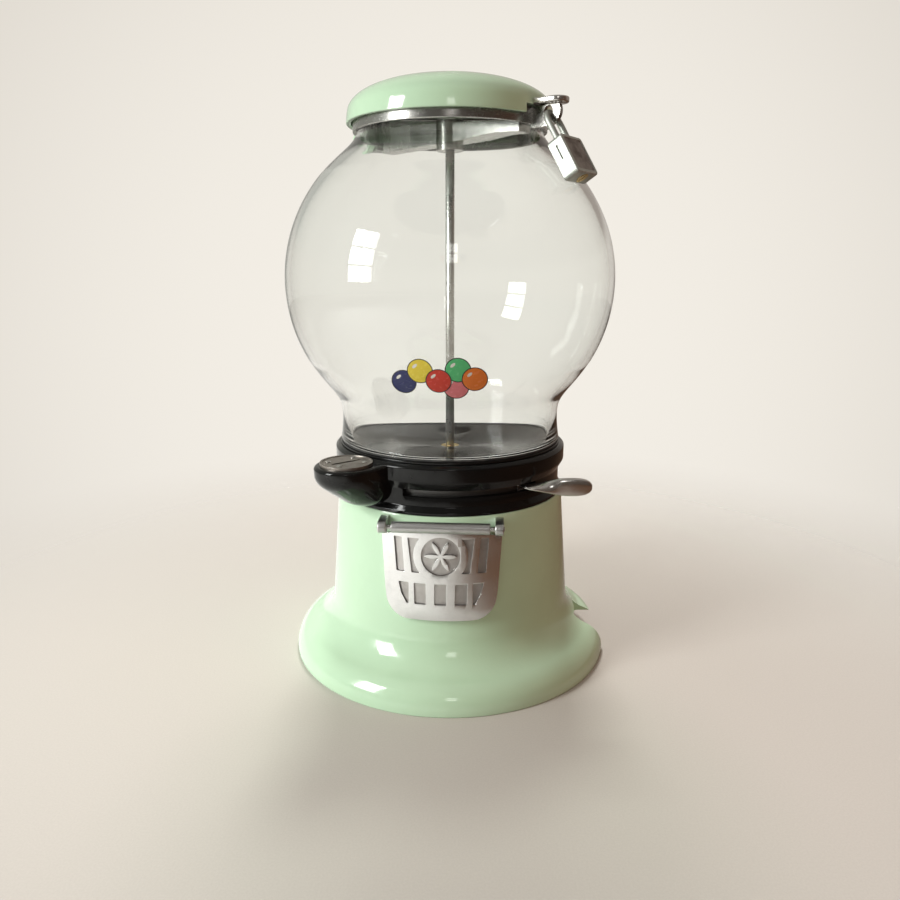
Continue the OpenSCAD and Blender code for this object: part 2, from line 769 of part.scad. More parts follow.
module delivery_flap() {
    z0 = flap_bottom_z - over;
    z1 = flap_axis_z + over;
    color("#c9c9c6") difference() {
        union() {
            intersection() {
                neck_shell(flap_gap, flap_t, z0, z1);
                front_view() flap_outline();
            }
            translate([0, -flap_axis_y, flap_axis_z]) rod_x(barrel_r, barrel_len);
            difference() {
                translate([-barrel_len/2, -flap_axis_y, flap_axis_z - flap_web_h])
                    cube([barrel_len, flap_axis_y/2, flap_web_h]);
                rotate_extrude() polygon([[0, z0], [neck_at(z0) + flap_gap, z0],
                    [neck_at(z1) + flap_gap, z1], [0, z1]]);
            }
        }
        intersection() {
            neck_shell(flap_gap + flap_t - panel_depth, 3*panel_depth, z0, z1);
            front_view() flap_panels();
        }
        translate([0, -flap_axis_y, flap_axis_z]) rod_x(flap_pin_r + pin_gap, barrel_len + 2*over);
    }
}

module flap_pin() {
    color("#b5b5b2") translate([0, -flap_axis_y, flap_axis_z])
        rod_x(flap_pin_r, 2*(flap_lug_x + flap_lug_w) + 1);
}

// Side view of the chute, as points of Y and Z: drop, sloping floor and front lip; moved inwards by t,
// with its open ends moved outwards by past
function chute_side(t, past) = [[chute_back_y - t, base_h + past], [chute_back_y - t, chute_turn_z + t],
    [chute_front_y - past, chute_sill_z + t], [chute_front_y - past, chute_sill_z + chute_lip_h],
    [chute_front_y + chute_lip_h, chute_sill_z + 2*chute_lip_h],
    [chute_back_y - 2*outlet_r - 2*chute_t, base_h - base_top_t],
    [chute_back_y - 2*outlet_r - 2*chute_t, base_h + past]];

// Extrudes a side view of Y and Z along X, centred
module side_view(w) {
    rotate([90, 0, 90]) translate([0, 0, -w/2]) linear_extrude(height = w) children();
}

module delivery_chute() {
    color("#9fa2a3") difference() {
        union() {
            difference() {
                side_view(chute_w) polygon(chute_side(0, 0));
                side_view(chute_w - 2*chute_t) polygon(chute_side(chute_t, over));
                translate([-chute_w/2 + chute_t, chute_front_y - over, chute_sill_z + chute_lip_h])
                    cube([chute_w - 2*chute_t, chute_back_y - chute_front_y - chute_lip_h, base_h]);
            }
            for (side = [0, 1]) mirror([side, 0, 0])
                translate([chute_w/2 - chute_t, chute_tab_y, base_h - chute_tab_t])
                    cube([chute_tab_w, chute_tab_len, chute_tab_t]);
        }
        for (side = [0, 1]) mirror([side, 0, 0])
            translate([chute_w/2 + chute_tab_w/2, chute_tab_y + chute_tab_len/2, base_h - chute_tab_t - over])
                cylinder(r = chute_screw_r + screw_gap, h = chute_tab_t + 2*over);
    }
}

// Places its children at the two screws of the chute, on the underside of the drum's floor
module at_chute_screws() {
    for (side = [0, 1]) mirror([side, 0, 0])
        translate([chute_w/2 + chute_tab_w/2, chute_tab_y + chute_tab_len/2, base_h]) children();
}

module chute_screws() {
    color("#c9c6bd") at_chute_screws() {
        translate([0, 0, -chute_tab_t]) cylinder(r = chute_screw_r, h = chute_tab_t + floor_t - 2*bolt_spare);
        translate([0, 0, -chute_tab_t - chute_screw_head_h])
            cylinder(r = chute_screw_head_r, h = chute_screw_head_h);
    }
}

// One end of the coin boss: a straight side and a round bottom that is lifted by a height
module boss_end(lift) {
    rotate_extrude($fn = hull_fn) polygon(concat([[0, boss_top_z], [boss_r, boss_top_z]],
        [for (i = [0:8]) let (a = 90*i/8)
            [boss_r*cos(a), boss_bottom_z + lift + boss_bowl*(1 - sin(a))]]));
}

// Coin channel, as a side view of radius and Z: under the slot, then down and inwards to the ring
module coin_channel() {
    at(boss_a) rotate([90, 0, 0]) translate([0, 0, -coin_w/2]) linear_extrude(height = coin_w)
        polygon([[boss_reach - coin_slot_len/2, boss_top_z + over],
            [boss_reach + coin_slot_len/2, boss_top_z + over],
            [boss_reach + coin_slot_len/2, boss_top_z - coin_channel_drop],
            [drum_bore_r - over, floor_z + coin_channel_low],
            [drum_bore_r - over, floor_z + coin_channel_high],
            [boss_reach - coin_slot_len/2, boss_top_z - coin_plate_t]]);
}

module drum_casting() {
    color("#17181a") difference() {
        union() {
            rotate_extrude() polygon([[0, base_h], [drum_foot_r, base_h], [drum_foot_r, base_h + drum_foot_h],
                [drum_r, base_h + drum_step_h], [drum_r, drum_top_z - flange_h - flange_slope],
                [flange_r, drum_top_z - flange_h], [flange_r, drum_top_z - flange_edge],
                [flange_r - flange_edge, drum_top_z], [drum_bore_r, drum_top_z], [drum_bore_r, floor_z],
                [hub_r, floor_z], [hub_r, floor_z + hub_step], [0, floor_z + hub_step]]);
            difference() {
                hull() {
                    at(boss_a) translate([boss_reach, 0, 0]) boss_end(boss_lift);
                    at(boss_a) translate([boss_root_r, 0, 0]) boss_end(0);
                }
                translate([0, 0, base_h]) cylinder(r = drum_bore_r + drum_wall/2, h = 2*drum_h);
            }
            at(spring_to) translate([spring_r - 2, 0, spring_z]) rotate([0, 90, 0])
                cylinder(r = post_r, h = drum_bore_r - spring_r + 2 + drum_wall/2);
        }
        at(boss_a) translate([boss_reach, 0, boss_top_z]) cylinder(r = coin_plate_r + 0.2, h = drum_h);
        coin_channel();
        translate([0, 0, base_h - over]) cylinder(r = rod_r + screw_gap, h = floor_t + hub_step + 2*over);
        at(front_a) translate([pocket_ring_r, 0, base_h - over]) cylinder(r = outlet_r, h = floor_t + 2*over);
        at(boss_a - lever_stroke) translate([wheel_r - coin_bite, -coin_w/2 - 0.3, base_h - over])
            cube([drum_bore_r - wheel_r + coin_bite - 0.5, coin_w + 0.6, floor_t + 2*over]);
        sector(drum_bore_r - over, flange_r + over, lever_z - lever_slot_h/2, lever_z + lever_slot_h/2,
            lever_a - lever_stroke - lever_slot_slack, lever_a + lever_slot_slack);
        for (a = drum_bolt_as) at(a) translate([drum_bolt_ring_r, 0, base_h - over])
            cylinder(r = drum_bolt_r, h = floor_t - bolt_spare + over);
        at_chute_screws() translate([0, 0, -over])
            cylinder(r = chute_screw_r, h = floor_t - bolt_spare + over);
        for (a = coin_screw_as) at(boss_a) translate([boss_reach, 0, 0]) at(a + coin_slot_turn)
            translate([coin_screw_ring_r, 0, boss_top_z - 2*coin_screw_len])
                cylinder(r = coin_screw_r, h = 2*coin_screw_len + over);
    }
}

module drum_bolts() {
    head_z = base_h - base_top_t - drum_bolt_head_h;
    color("#bdbab2") for (a = drum_bolt_as) at(a) translate([drum_bolt_ring_r, 0, head_z]) {
        cylinder(r = drum_bolt_head_r, h = drum_bolt_head_h, $fn = 6);
        cylinder(r = drum_bolt_r, h = drum_bolt_head_h + base_top_t + floor_t - 2*bolt_spare);
    }
}

module coin_plate() {
    color("#8d7b6d") at(boss_a) translate([boss_reach, 0, boss_top_z]) at(coin_slot_turn) difference() {
        union() {
            cylinder(r = coin_plate_r, h = coin_plate_t - coin_rim_h);
            ring(coin_plate_r - coin_rim_w, coin_plate_r, 0, coin_plate_t);
        }
        translate([-coin_slot_len/2, -coin_slot_w/2, -over])
            cube([coin_slot_len, coin_slot_w, coin_plate_t + 2*over]);
        for (a = coin_screw_as) at(a) translate([coin_screw_ring_r, 0, -over])
            cylinder(r = coin_screw_r + screw_gap, h = coin_plate_t + 2*over);
    }
}

module coin_plate_screws() {
    head_z = boss_top_z + coin_plate_t - coin_rim_h;
    color("#cfccc4") at(boss_a) translate([boss_reach, 0, 0]) at(coin_slot_turn)
        for (a = coin_screw_as) at(a) translate([coin_screw_ring_r, 0, head_z]) {
            cylinder(r = coin_screw_head_r, h = coin_screw_head_h);
            translate([0, 0, -coin_plate_t - coin_screw_len])
                cylinder(r = coin_screw_r, h = coin_plate_t + coin_screw_len);
        }
}

module carrier_ring() {
    color("#8f8f8a") difference() {
        union() {
            ring(ring_in_r, ring_out_r, ring_z, ring_top_z);
            at(spring_from) translate([spring_r, 0, ring_top_z - over])
                cylinder(r = post_r, h = spring_z - ring_top_z + over + 3);
        }
        at(boss_a) translate([ring_in_r - over, -coin_w/2, ring_z + 3])
            cube([ring_out_r - ring_in_r + 2*over, coin_w, ring_h]);
        at(lever_a) translate([lever_root_in, -lever_w/2, lever_root_z]) cube([2*ring_h, lever_w, ring_h]);
        at(lever_a) translate([(lever_root_in + ring_out_r)/2, 0, ring_z + 1])
            cylinder(r = lever_screw_r, h = ring_h);
    }
}

// A cross-section of the lever's handle, two small balls set apart across the bar: s holds its place, its
// heading, its twist, its width and its thickness
module handle_section(s) {
    translate([s[0][0], s[0][1], 0]) rotate([0, 0, s[1]]) rotate([s[2], 0, 0])
        for (side = [-1, 1]) translate([0, side*(s[3] - s[4])/2, 0]) sphere(d = s[4], $fn = 20);
}

// Place on the handle's straight run at a share of its length
function handle_at(share) = [lever_bend_r, 0] + share*handle_len*[cos(handle_turn), sin(handle_turn)];

module lever() {
    ends = [[handle_at(-0.05), 0, 0, 0.9*lever_w, lever_t],
        [handle_at(0.14), handle_turn/2, 20, 0.8*lever_w, lever_t],
        [handle_at(0.3), handle_turn, 62, 0.85*lever_w, 1.2*lever_t],
        [handle_at(0.48), handle_turn, 90, 0.95*paddle_h, 0.92*paddle_t],
        [handle_at(0.72), handle_turn, 90, paddle_h, paddle_t],
        [handle_at(0.88), handle_turn, 90, 0.8*paddle_h, 0.92*paddle_t],
        [handle_at(0.95), handle_turn, 90, 0.48*paddle_h, 0.76*paddle_t]];
    color("#c4bfba") at(lever_a) difference() {
        union() {
            translate([lever_root_in, -lever_w/2, lever_root_z])
                cube([ring_out_r - lever_root_in, lever_w, ring_top_z - lever_root_z]);
            translate([ring_out_r - over, -lever_w/2, lever_z - lever_t/2])
                cube([lever_bend_r - ring_out_r - over, lever_w, lever_t]);
            translate([0, 0, lever_z]) for (i = [0:len(ends) - 2]) hull() {
                handle_section(ends[i]);
                handle_section(ends[i + 1]);
            }
        }
        translate([(lever_root_in + ring_out_r)/2, 0, lever_root_z - over])
            cylinder(r = lever_screw_r + screw_gap, h = 2*ring_h);
    }
}

module lever_screw() {
    color("#bdbab2") at(lever_a) translate([(lever_root_in + ring_out_r)/2, 0, 0]) {
        translate([0, 0, ring_z + 1.5]) cylinder(r = lever_screw_r, h = ring_h - 1.5);
        translate([0, 0, ring_top_z]) cylinder(r = lever_screw_head_r, h = lever_screw_head_h);
    }
}

module return_spring() {
    reach = (post_r + 0.3)/spring_r*180/PI;
    color("#9a9a96") at(spring_from + reach) rotate_extrude(angle = spring_to - spring_from - 2*reach)
        translate([spring_r, spring_z]) circle(r = spring_wire_r);
}

module vend_wheel() {
    color("#a8a49a") translate([0, 0, wheel_z]) difference() {
        cylinder(r = wheel_r, h = wheel_t);
        translate([0, 0, -over]) cylinder(r = bush_r + pin_gap, h = wheel_t + 2*over);
        for (i = [0:pockets - 1]) {
            at(front_a + 360/pockets*i) translate([pocket_ring_r, 0, -over])
                cylinder(r = pocket_r, h = wheel_t + 2*over);
            at(boss_a + 360/pockets*i) translate([wheel_r - coin_bite, -coin_w/2, 2])
                cube([coin_bite + over, coin_w, wheel_t]);
        }
    }
}

module wheel_bush() {
    color("#b08d4a") ring(rod_r + screw_gap, bush_r, floor_z + hub_step, hopper_hub_z - 0.2);
}

// Dish profile, as points of radius and Z along its top, moved down by t
function dish_top(t) = [[hopper_in_r - t, drum_top_z + hopper_rim_t - t], [hopper_hub_r, hopper_hub_z - t]];

module hopper_dish() {
    feed = [0, pocket_ring_r, wheel_top_z + run_gap + 0.3];
    color("#1b1c1e") difference() {
        union() {
            rotate_extrude() polygon(concat([[hopper_rim_r, drum_top_z]],
                [[hopper_rim_r, drum_top_z + hopper_rim_t]],
                dish_top(0), [[bush_r + pin_gap, hopper_hub_z], [bush_r + pin_gap, hopper_hub_z - hopper_t]],
                backwards(dish_top(hopper_t)), [[drum_bore_r - 0.4, drum_top_z]]));
            intersection() {
                translate(feed) cylinder(r = throat_r + throat_t, h = drum_h);
                rotate_extrude() polygon(concat([[0, base_h]], [[hopper_in_r, base_h]], dish_top(0.2),
                    [[0, hopper_hub_z - 0.2]]));
            }
        }
        translate(feed - [0, 0, over]) cylinder(r = throat_r, h = drum_h + 2*over);
    }
}

module globe_gasket() {
    color("#2b2b2b") ring(glass_waist_r - glass_t, foot_r - 0.3, drum_top_z + hopper_rim_t, globe_z);
}

module globe() {
    color([0.85, 0.95, 0.92, 0.35]) rotate_extrude() polygon(concat(
        [[foot_r, globe_z], [foot_r, globe_z + foot_h], [glass_waist_r, globe_z + foot_h + foot_slope_h]],
        globe_side(0),
        backwards(globe_side(glass_t)), [[glass_waist_r - glass_t, globe_z]]));
}

module neck_gasket() {
    color("#2b2b2b") ring(glass_neck_r - glass_t, glass_neck_r, globe_top_z, lip_z);
}

module centre_rod() {
    color("#b9bab8") translate([0, 0, rod_bottom_z]) cylinder(r = rod_r, h = rod_top_z - rod_bottom_z);
}

// A plain washer on the rod, from z up
module rod_washer(z) {
    ring(rod_r + screw_gap, washer_r, z, z + washer_t);
}

// A hexagon nut on the rod, from z up
module rod_nut(z) {
    translate([0, 0, z]) difference() {
        cylinder(r = nut_r, h = nut_h, $fn = 6);
        translate([0, 0, -over]) cylinder(r = rod_r, h = nut_h + 2*over);
    }
}

module lower_washer() {
    color("#bdbab2") rod_washer(base_h - washer_t);
}

module lower_nut() {
    color("#bdbab2") rod_nut(base_h - washer_t - nut_h);
}

module upper_washer() {
    color("#bdbab2") rod_washer(rod_hub_z + rod_hub_h);
}

module upper_nut() {
    color("#bdbab2") rod_nut(rod_hub_z + rod_hub_h + washer_t);
}

// Hasp ear: an upright plate in the radial plane, round about its hole
module hasp_ear() {
    at(hasp_a) intersection() {
        union() {
            translate([collar_r - collar_t/2, -ear_t/2, ear_z - ear_round_r])
                cube([ear_reach - collar_r + collar_t/2, ear_t, 2*ear_round_r]);
            translate([ear_reach, 0, ear_z]) rod_y(ear_round_r, -ear_t/2, ear_t/2);
        }
        translate([collar_in_r, -ear_t, 0]) cube([base_r, 2*ear_t, ear_top_z]);
    }
}

// Lug on the collar for the lid's hinge pin
module lid_lug() {
    at(hasp_a + 180) translate([0, 0, lid_axis_z]) {
        translate([collar_r - collar_t/2, -lid_lug_w/2, -lid_lug_r])
            cube([lid_axis_reach - collar_r + collar_t/2, lid_lug_w, 2*lid_lug_r - 0.2]);
        translate([lid_axis_reach, 0, 0]) rod_y(lid_lug_r, -lid_lug_w/2, lid_lug_w/2);
    }
}

// Crossbar inside the neck, hung from the lip at both ends, with the rod's hub in its middle
module yoke() {
    at(hasp_a) {
        translate([-yoke_leg_out_r, -yoke_w/2, yoke_z]) cube([2*yoke_leg_out_r, yoke_w, yoke_t]);
        for (side = [0, 1]) mirror([side, 0, 0])
            translate([collar_in_r - 3, -yoke_w/2, yoke_z])
                cube([yoke_leg_out_r - collar_in_r + 3, yoke_w, lip_z - yoke_z + lip_t/2]);
    }
    translate([0, 0, rod_hub_z]) cylinder(r = rod_hub_r, h = rod_hub_h);
}

module collar() {
    color("#6d6a62") difference() {
        union() {
            ring(collar_in_r, collar_r, lip_z, lip_z + lip_t);
            ring(glass_neck_r + collar_gap, collar_r, lip_z - collar_skirt, lip_z + lip_t);
            hasp_ear();
            lid_lug();
            intersection() {
                yoke();
                translate([0, 0, rod_hub_z - over]) cylinder(r = yoke_leg_out_r, h = base_h);
            }
        }
        rotate_extrude() polygon([[collar_r - collar_edge, lip_z + lip_t],
            [collar_r + over, lip_z + lip_t - collar_edge - over], [collar_r + over, lip_z + lip_t + over],
            [collar_r - collar_edge, lip_z + lip_t + over]]);
        translate([0, 0, rod_hub_z - over]) cylinder(r = rod_r + screw_gap, h = base_h);
        at(hasp_a) translate([ear_reach, 0, ear_z]) rod_y(ear_hole_r, -ear_t, ear_t);
        at(hasp_a + 180) translate([lid_axis_reach, 0, lid_axis_z]) rod_y(lid_pin_r, -lid_lug_w, lid_lug_w);
    }
}

module lid_hinge_pin() {
    color("#b5b5b2") at(hasp_a + 180) translate([lid_axis_reach, 0, lid_axis_z])
        rod_y(lid_pin_r, -lid_pin_len/2, lid_pin_len/2);
}

// Two knuckles below the lid's rim, either side of the collar's lug
module lid_knuckles() {
    at(hasp_a + 180) for (side = [0, 1]) mirror([0, side, 0]) translate([0, lid_knuckle_x, 0]) {
        translate([lid_axis_reach, 0, lid_axis_z]) rod_y(lid_knuckle_r, 0, lid_knuckle_w);
        translate([lid_arm_in, 0, lid_axis_z])
            cube([lid_axis_reach - lid_arm_in + 1, lid_knuckle_w, lid_arm_top - lid_axis_z]);
    }
}

// Hasp tab on the lid: a flat tongue with a round end
module hasp_tab() {
    at(hasp_a) translate([0, 0, tab_z]) {
        translate([lid_r - lid_t/2, -tab_w/2, 0]) cube([tab_reach - tab_w/2 - lid_r + lid_t/2, tab_w, tab_t]);
        translate([tab_reach - tab_w/2, 0, 0]) cylinder(r = tab_w/2, h = tab_t);
    }
}

module lid() {
    color("#b9e2b6") difference() {
        union() {
            difference() {
                rotate_extrude() polygon(concat(lid_side(0), backwards(lid_side(lid_t))));
                sector(collar_r - over, lid_rim_r + over, lid_z - over, tab_z,
                    hasp_a - hasp_notch, hasp_a + hasp_notch);
            }
            hasp_tab();
            lid_knuckles();
        }
        at(hasp_a + 180) translate([lid_axis_reach, 0, lid_axis_z])
            rod_y(lid_pin_r + pin_gap, -lid_pin_len, lid_pin_len);
    }
}

// Padlock frame: origin where the wire hangs in the ear, +X down the padlock, +Y across it
module padlock_frame() {
    at(hasp_a) translate([ear_reach, 0, swing_z]) rotate([0, hang, 0]) children();
}

// Places its children at the long leg (1) and the short leg (-1) of the shackle
module leg(side) {
    translate([bend_r, side*bend_r, 0]) rotate([0, 90, 0]) children();
}

module padlock_shackle() {
    color("#c6c6c4") padlock_frame() {
        translate([bend_r, 0, 0]) rotate([0, 0, 90]) rotate_extrude(angle = 180)
            translate([bend_r, 0]) circle(r = wire_r, $fn = 48);
        leg(1) cylinder(r = wire_r, h = case_from - bend_r + long_leg);
        leg(-1) cylinder(r = wire_r, h = case_from - bend_r + short_leg);
    }
}

module padlock_case() {
    color("#cfd0cd") padlock_frame() difference() {
        translate([case_from + case_len/2, 0, -case_t/2])
            linear_extrude(height = case_t) polygon(round_box(case_len, case_w, case_round));
        leg(1) cylinder(r = wire_r + leg_gap, h = case_from - bend_r + long_leg + 1);
        leg(-1) cylinder(r = wire_r + leg_gap, h = case_from - bend_r + short_leg + 1);
        translate([case_from + case_len - plug_len, 0, 0]) rotate([0, 90, 0])
            cylinder(r = key_plug_r + pin_gap, h = plug_len + over);
    }
}

module padlock_plug() {
    plug_from = case_from + case_len - plug_len + run_gap;
    color("#b08d4a") padlock_frame() translate([plug_from, 0, 0]) difference() {
        rotate([0, 90, 0]) cylinder(r = key_plug_r, h = plug_len - run_gap + plug_proud);
        translate([plug_len - 5, -keyway_w/2, -key_plug_r + 1]) cube([8, keyway_w, 2*key_plug_r - 2]);
    }
}

base_casting();
bottom_plate();
bottom_screws();
cash_door();
cash_door_pin();
cash_lock_body();
cash_lock_cam();
delivery_flap();
flap_pin();
delivery_chute();
chute_screws();
drum_casting();
drum_bolts();
coin_plate();
coin_plate_screws();
carrier_ring();
lever();
lever_screw();
return_spring();
vend_wheel();
wheel_bush();
hopper_dish();
globe_gasket();
globe();
neck_gasket();
centre_rod();
lower_washer();
lower_nut();
upper_washer();
upper_nut();
collar();
lid_hinge_pin();
lid();
padlock_shackle();
padlock_case();
padlock_plug();
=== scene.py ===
"""Looks of a countertop candy vending machine: enamelled castings, polished metal, clear glass and a padlock."""

import logging
from collections.abc import Callable, Sequence
from dataclasses import dataclass, field
from enum import Enum
from math import acos, atan2, cos, degrees, pi, radians, sin, sqrt, tan

import bmesh
import bpy
from mathutils import Matrix, Vector
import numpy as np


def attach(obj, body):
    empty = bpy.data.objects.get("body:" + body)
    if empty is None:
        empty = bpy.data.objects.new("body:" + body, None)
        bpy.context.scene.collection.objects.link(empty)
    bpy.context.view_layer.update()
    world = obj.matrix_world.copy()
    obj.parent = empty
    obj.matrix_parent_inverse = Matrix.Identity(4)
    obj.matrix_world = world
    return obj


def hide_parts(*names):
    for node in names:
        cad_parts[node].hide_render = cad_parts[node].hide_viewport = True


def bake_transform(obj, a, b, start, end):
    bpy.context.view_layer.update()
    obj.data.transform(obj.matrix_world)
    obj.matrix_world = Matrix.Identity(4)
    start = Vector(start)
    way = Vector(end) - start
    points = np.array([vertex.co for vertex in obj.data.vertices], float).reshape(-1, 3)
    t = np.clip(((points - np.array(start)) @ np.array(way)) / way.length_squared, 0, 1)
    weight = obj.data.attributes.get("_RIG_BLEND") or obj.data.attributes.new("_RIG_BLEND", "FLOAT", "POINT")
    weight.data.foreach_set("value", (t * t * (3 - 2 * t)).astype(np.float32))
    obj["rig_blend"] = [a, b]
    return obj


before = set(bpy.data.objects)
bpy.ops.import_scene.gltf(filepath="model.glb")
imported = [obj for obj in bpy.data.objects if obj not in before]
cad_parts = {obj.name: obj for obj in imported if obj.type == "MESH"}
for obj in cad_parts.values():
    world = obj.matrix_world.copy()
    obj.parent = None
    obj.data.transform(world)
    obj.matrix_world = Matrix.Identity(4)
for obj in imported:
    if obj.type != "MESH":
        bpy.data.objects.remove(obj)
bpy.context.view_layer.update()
LOG = logging.getLogger("vending_machine")
MM = 0.001
MERGE = 0.0005
HASP_ANGLE = -32.7
FLIP = Matrix.Rotation(pi, 4, "X")
Point = tuple[float, float]
Colour = tuple[float, float, float]


def srgb(red: int, green: int, blue: int) -> Colour:
    """Turns a screen colour of 0 to 255 into linear light."""
    shares = [v / 255 for v in (red, green, blue)]
    return tuple(s / 12.92 if s <= 0.04045 else ((s + 0.055) / 1.055) ** 2.4 for s in shares)


class Wire:
    """A socket of a node tree that takes part in arithmetic."""

    def __init__(self, graph: "Graph", socket: bpy.types.NodeSocket) -> None:
        """Keeps the tree and the socket."""
        self.graph = graph
        self.socket = socket

    def math(self, operation: str, first: "Wire | float", second: "Wire | float") -> "Wire":
        """The result of one Math node."""
        return self.graph.add("ShaderNodeMath", {"operation": operation}, {0: first, 1: second})

    def __add__(self, other: "Wire | float") -> "Wire":
        """This plus other."""
        return self.math("ADD", self, other)

    def __sub__(self, other: "Wire | float") -> "Wire":
        """This minus other."""
        return self.math("SUBTRACT", self, other)

    def __rsub__(self, other: float) -> "Wire":
        """Other minus this."""
        return self.math("SUBTRACT", other, self)

    def __mul__(self, other: "Wire | float") -> "Wire":
        """This times other."""
        return self.math("MULTIPLY", self, other)

    def most(self, other: "Wire | float") -> "Wire":
        """The larger of this and other."""
        return self.math("MAXIMUM", self, other)

    __radd__ = __add__
    __rmul__ = __mul__


class Graph:
    """A node tree, with one method that adds any node and short names for the usual ones."""

    def __init__(self, tree: bpy.types.NodeTree) -> None:
        """Empties the tree."""
        self.tree = tree
        tree.nodes.clear()

    @classmethod
    def of_material(cls, name: str) -> "Graph":
        """A new material's tree, under that name."""
        material = bpy.data.materials.new(name)
        material.use_nodes = True
        return cls(material.node_tree)

    def add(self, kind: str, settings: dict | None = None, inputs: dict | None = None,
            output: int | str = 0) -> "Wire | None":
        """Adds a node.

        Args:
            kind: the node's type.
            settings: its properties, set first.
            inputs: values or wires for its sockets, by name or number.
            output: the socket to go on from.

        Returns:
            That output, or None where the node has none.
        """
        node = self.tree.nodes.new(kind)
        for key, value in (settings or {}).items():
            setattr(node, key, value)
        for key, value in (inputs or {}).items():
            socket = node.inputs[key]
            if isinstance(value, Wire):
                self.tree.links.new(value.socket, socket)
            elif socket.type == "RGBA":
                socket.default_value = (*value[:3], 1.0)
            else:
                socket.default_value = value
        return Wire(self, node.outputs[output]) if node.outputs else None

    def place(self) -> Wire:
        """Coordinates in the machine's frame, in metres."""
        return self.add("ShaderNodeTexCoord", output="Object")

    def ray(self, output: str) -> Wire:
        """What the Light Path node says of the ray at hand."""
        return self.add("ShaderNodeLightPath", output=output)

    def split(self, vector: Wire) -> list[Wire]:
        """The three parts of a vector."""
        first = self.add("ShaderNodeSeparateXYZ", None, {0: vector})
        return [Wire(self, part) for part in first.socket.node.outputs]

    def noise(self, place: Wire, scale: float, detail: float = 2.0, roughness: float = 0.5) -> Wire:
        """Cloudy values from 0 to 1; scale is in features to the metre."""
        return self.add("ShaderNodeTexNoise", None,
                        {"Vector": place, "Scale": scale, "Detail": detail, "Roughness": roughness})

    def stretched(self, place: Wire, stretch: Sequence[float]) -> Wire:
        """Coordinates multiplied by three numbers."""
        return self.add("ShaderNodeMapping", None, {"Vector": place, "Scale": tuple(stretch)})

    def span(self, value: Wire, low: float, high: float) -> Wire:
        """A soft step from 0 at low to 1 at high."""
        return self.add("ShaderNodeMapRange", {"interpolation_type": "SMOOTHSTEP"},
                        {"Value": value, "From Min": low, "From Max": high})

    def mix(self, share: "Wire | float", first: "Wire | Colour", second: "Wire | Colour") -> Wire:
        """A colour between two others."""
        return self.add("ShaderNodeMix", {"data_type": "RGBA"}, {0: share, 6: first, 7: second}, 2)

    def wear(self) -> Wire:
        """The piece's own mark of its rubbed edges."""
        return self.add("ShaderNodeAttribute", {"attribute_name": "wear"}, output="Fac")

    def bump(self, height: Wire, depth: float, strength: float, **under: Wire) -> Wire:
        """A normal from a height of 0 to 1 that stands for a depth in metres, on the Normal under it if given."""
        return self.add("ShaderNodeBump", None,
                        {"Height": height, "Distance": depth, "Strength": strength, **under})

    def surface(self, inputs: dict) -> Wire:
        """A Principled shader."""
        return self.add("ShaderNodeBsdfPrincipled", None, inputs)

    def close(self, shader: Wire) -> bpy.types.Material:
        """Joins the shader to the output and returns the tree's material."""
        self.add("ShaderNodeOutputMaterial", None, {"Surface": shader})
        return next(m for m in bpy.data.materials if m.node_tree == self.tree)


@dataclass(frozen=True)
class Enamel:
    """Sprayed gloss enamel on a casting: slow drift of colour, orange peel, dust and rubbed edges."""

    name: str
    colour: Colour
    drift: Colour
    primer: Colour
    roughness: float = 0.1
    peel: float = 0.00007
    rubbed: float = 0.62
    gloss: float = 0.5

    def material(self) -> bpy.types.Material:
        """Makes the enamel's material."""
        g = Graph.of_material(self.name)
        place = g.place()
        cloud = g.span(g.noise(place, 11, 3), 0.35, 0.7)
        peel = g.noise(place, 380, 1)
        dust = g.noise(place, 75, 6, 0.65)
        specks = g.span(g.noise(place, 1300, 2), 0.7, 0.76)
        worn = g.span(g.wear() * g.noise(place, 520, 4, 0.6), self.rubbed, self.rubbed + 0.06)
        colour = g.mix(cloud * 0.8 + specks * 0.2, self.colour, self.drift)
        colour = g.mix(worn, colour, self.primer)
        smears = g.span(dust, 0.46, 0.74)
        return g.close(g.surface({
            "Base Color": colour, "Roughness": self.roughness + smears * 0.14 + worn * 0.35,
            "Normal": g.bump(peel * 0.8 + dust * 0.2 - worn * 0.6, self.peel, 0.6),
            "Coat Weight": self.gloss - smears * (0.6 * self.gloss), "Coat Roughness": 0.04, "IOR": 1.5,
            "Specular IOR Level": self.gloss}))


@dataclass(frozen=True)
class Metal:
    """Bare or plated metal: polishing lines, stains, casting ripples and bright rubbed edges."""

    name: str
    colour: Colour
    stain: Colour
    roughness: float = 0.25
    lines: tuple[float, float, float] = (120.0, 120.0, 2600.0)
    line_depth: float = 0.00002
    stained: float = 0.5
    ripple: float = 0.00008
    pitted: float = 0.4
    metallic: float = 1.0
    bright: Colour = (0.8, 0.79, 0.76)

    def material(self) -> bpy.types.Material:
        """Makes the metal's material."""
        g = Graph.of_material(self.name)
        place = g.place()
        lines = g.noise(g.stretched(place, self.lines), 1, 3, 0.6)
        blots = g.noise(place, 55, 5, 0.62)
        pits = g.span(g.noise(place, 900, 3, 0.55), 0.62, 0.75)
        ripple = g.noise(place, 130, 2)
        dull = g.span(blots, 0.42, 0.72) * self.stained + pits * (self.pitted * self.stained)
        rubbed = g.wear() * g.span(g.noise(place, 300, 3), 0.3, 0.6)
        colour = g.mix(dull, self.colour, self.stain)
        colour = g.mix(rubbed * 0.7, colour, self.bright)
        grain = g.bump(lines, self.line_depth, 0.5)
        normal = g.bump(ripple - pits * self.pitted, self.ripple, 0.6, Normal=grain)
        return g.close(g.surface({
            "Base Color": colour, "Metallic": self.metallic - dull * (0.35 * self.metallic),
            "Roughness": self.roughness + lines * 0.1 + dull * 0.25 - rubbed * 0.05, "Normal": normal}))


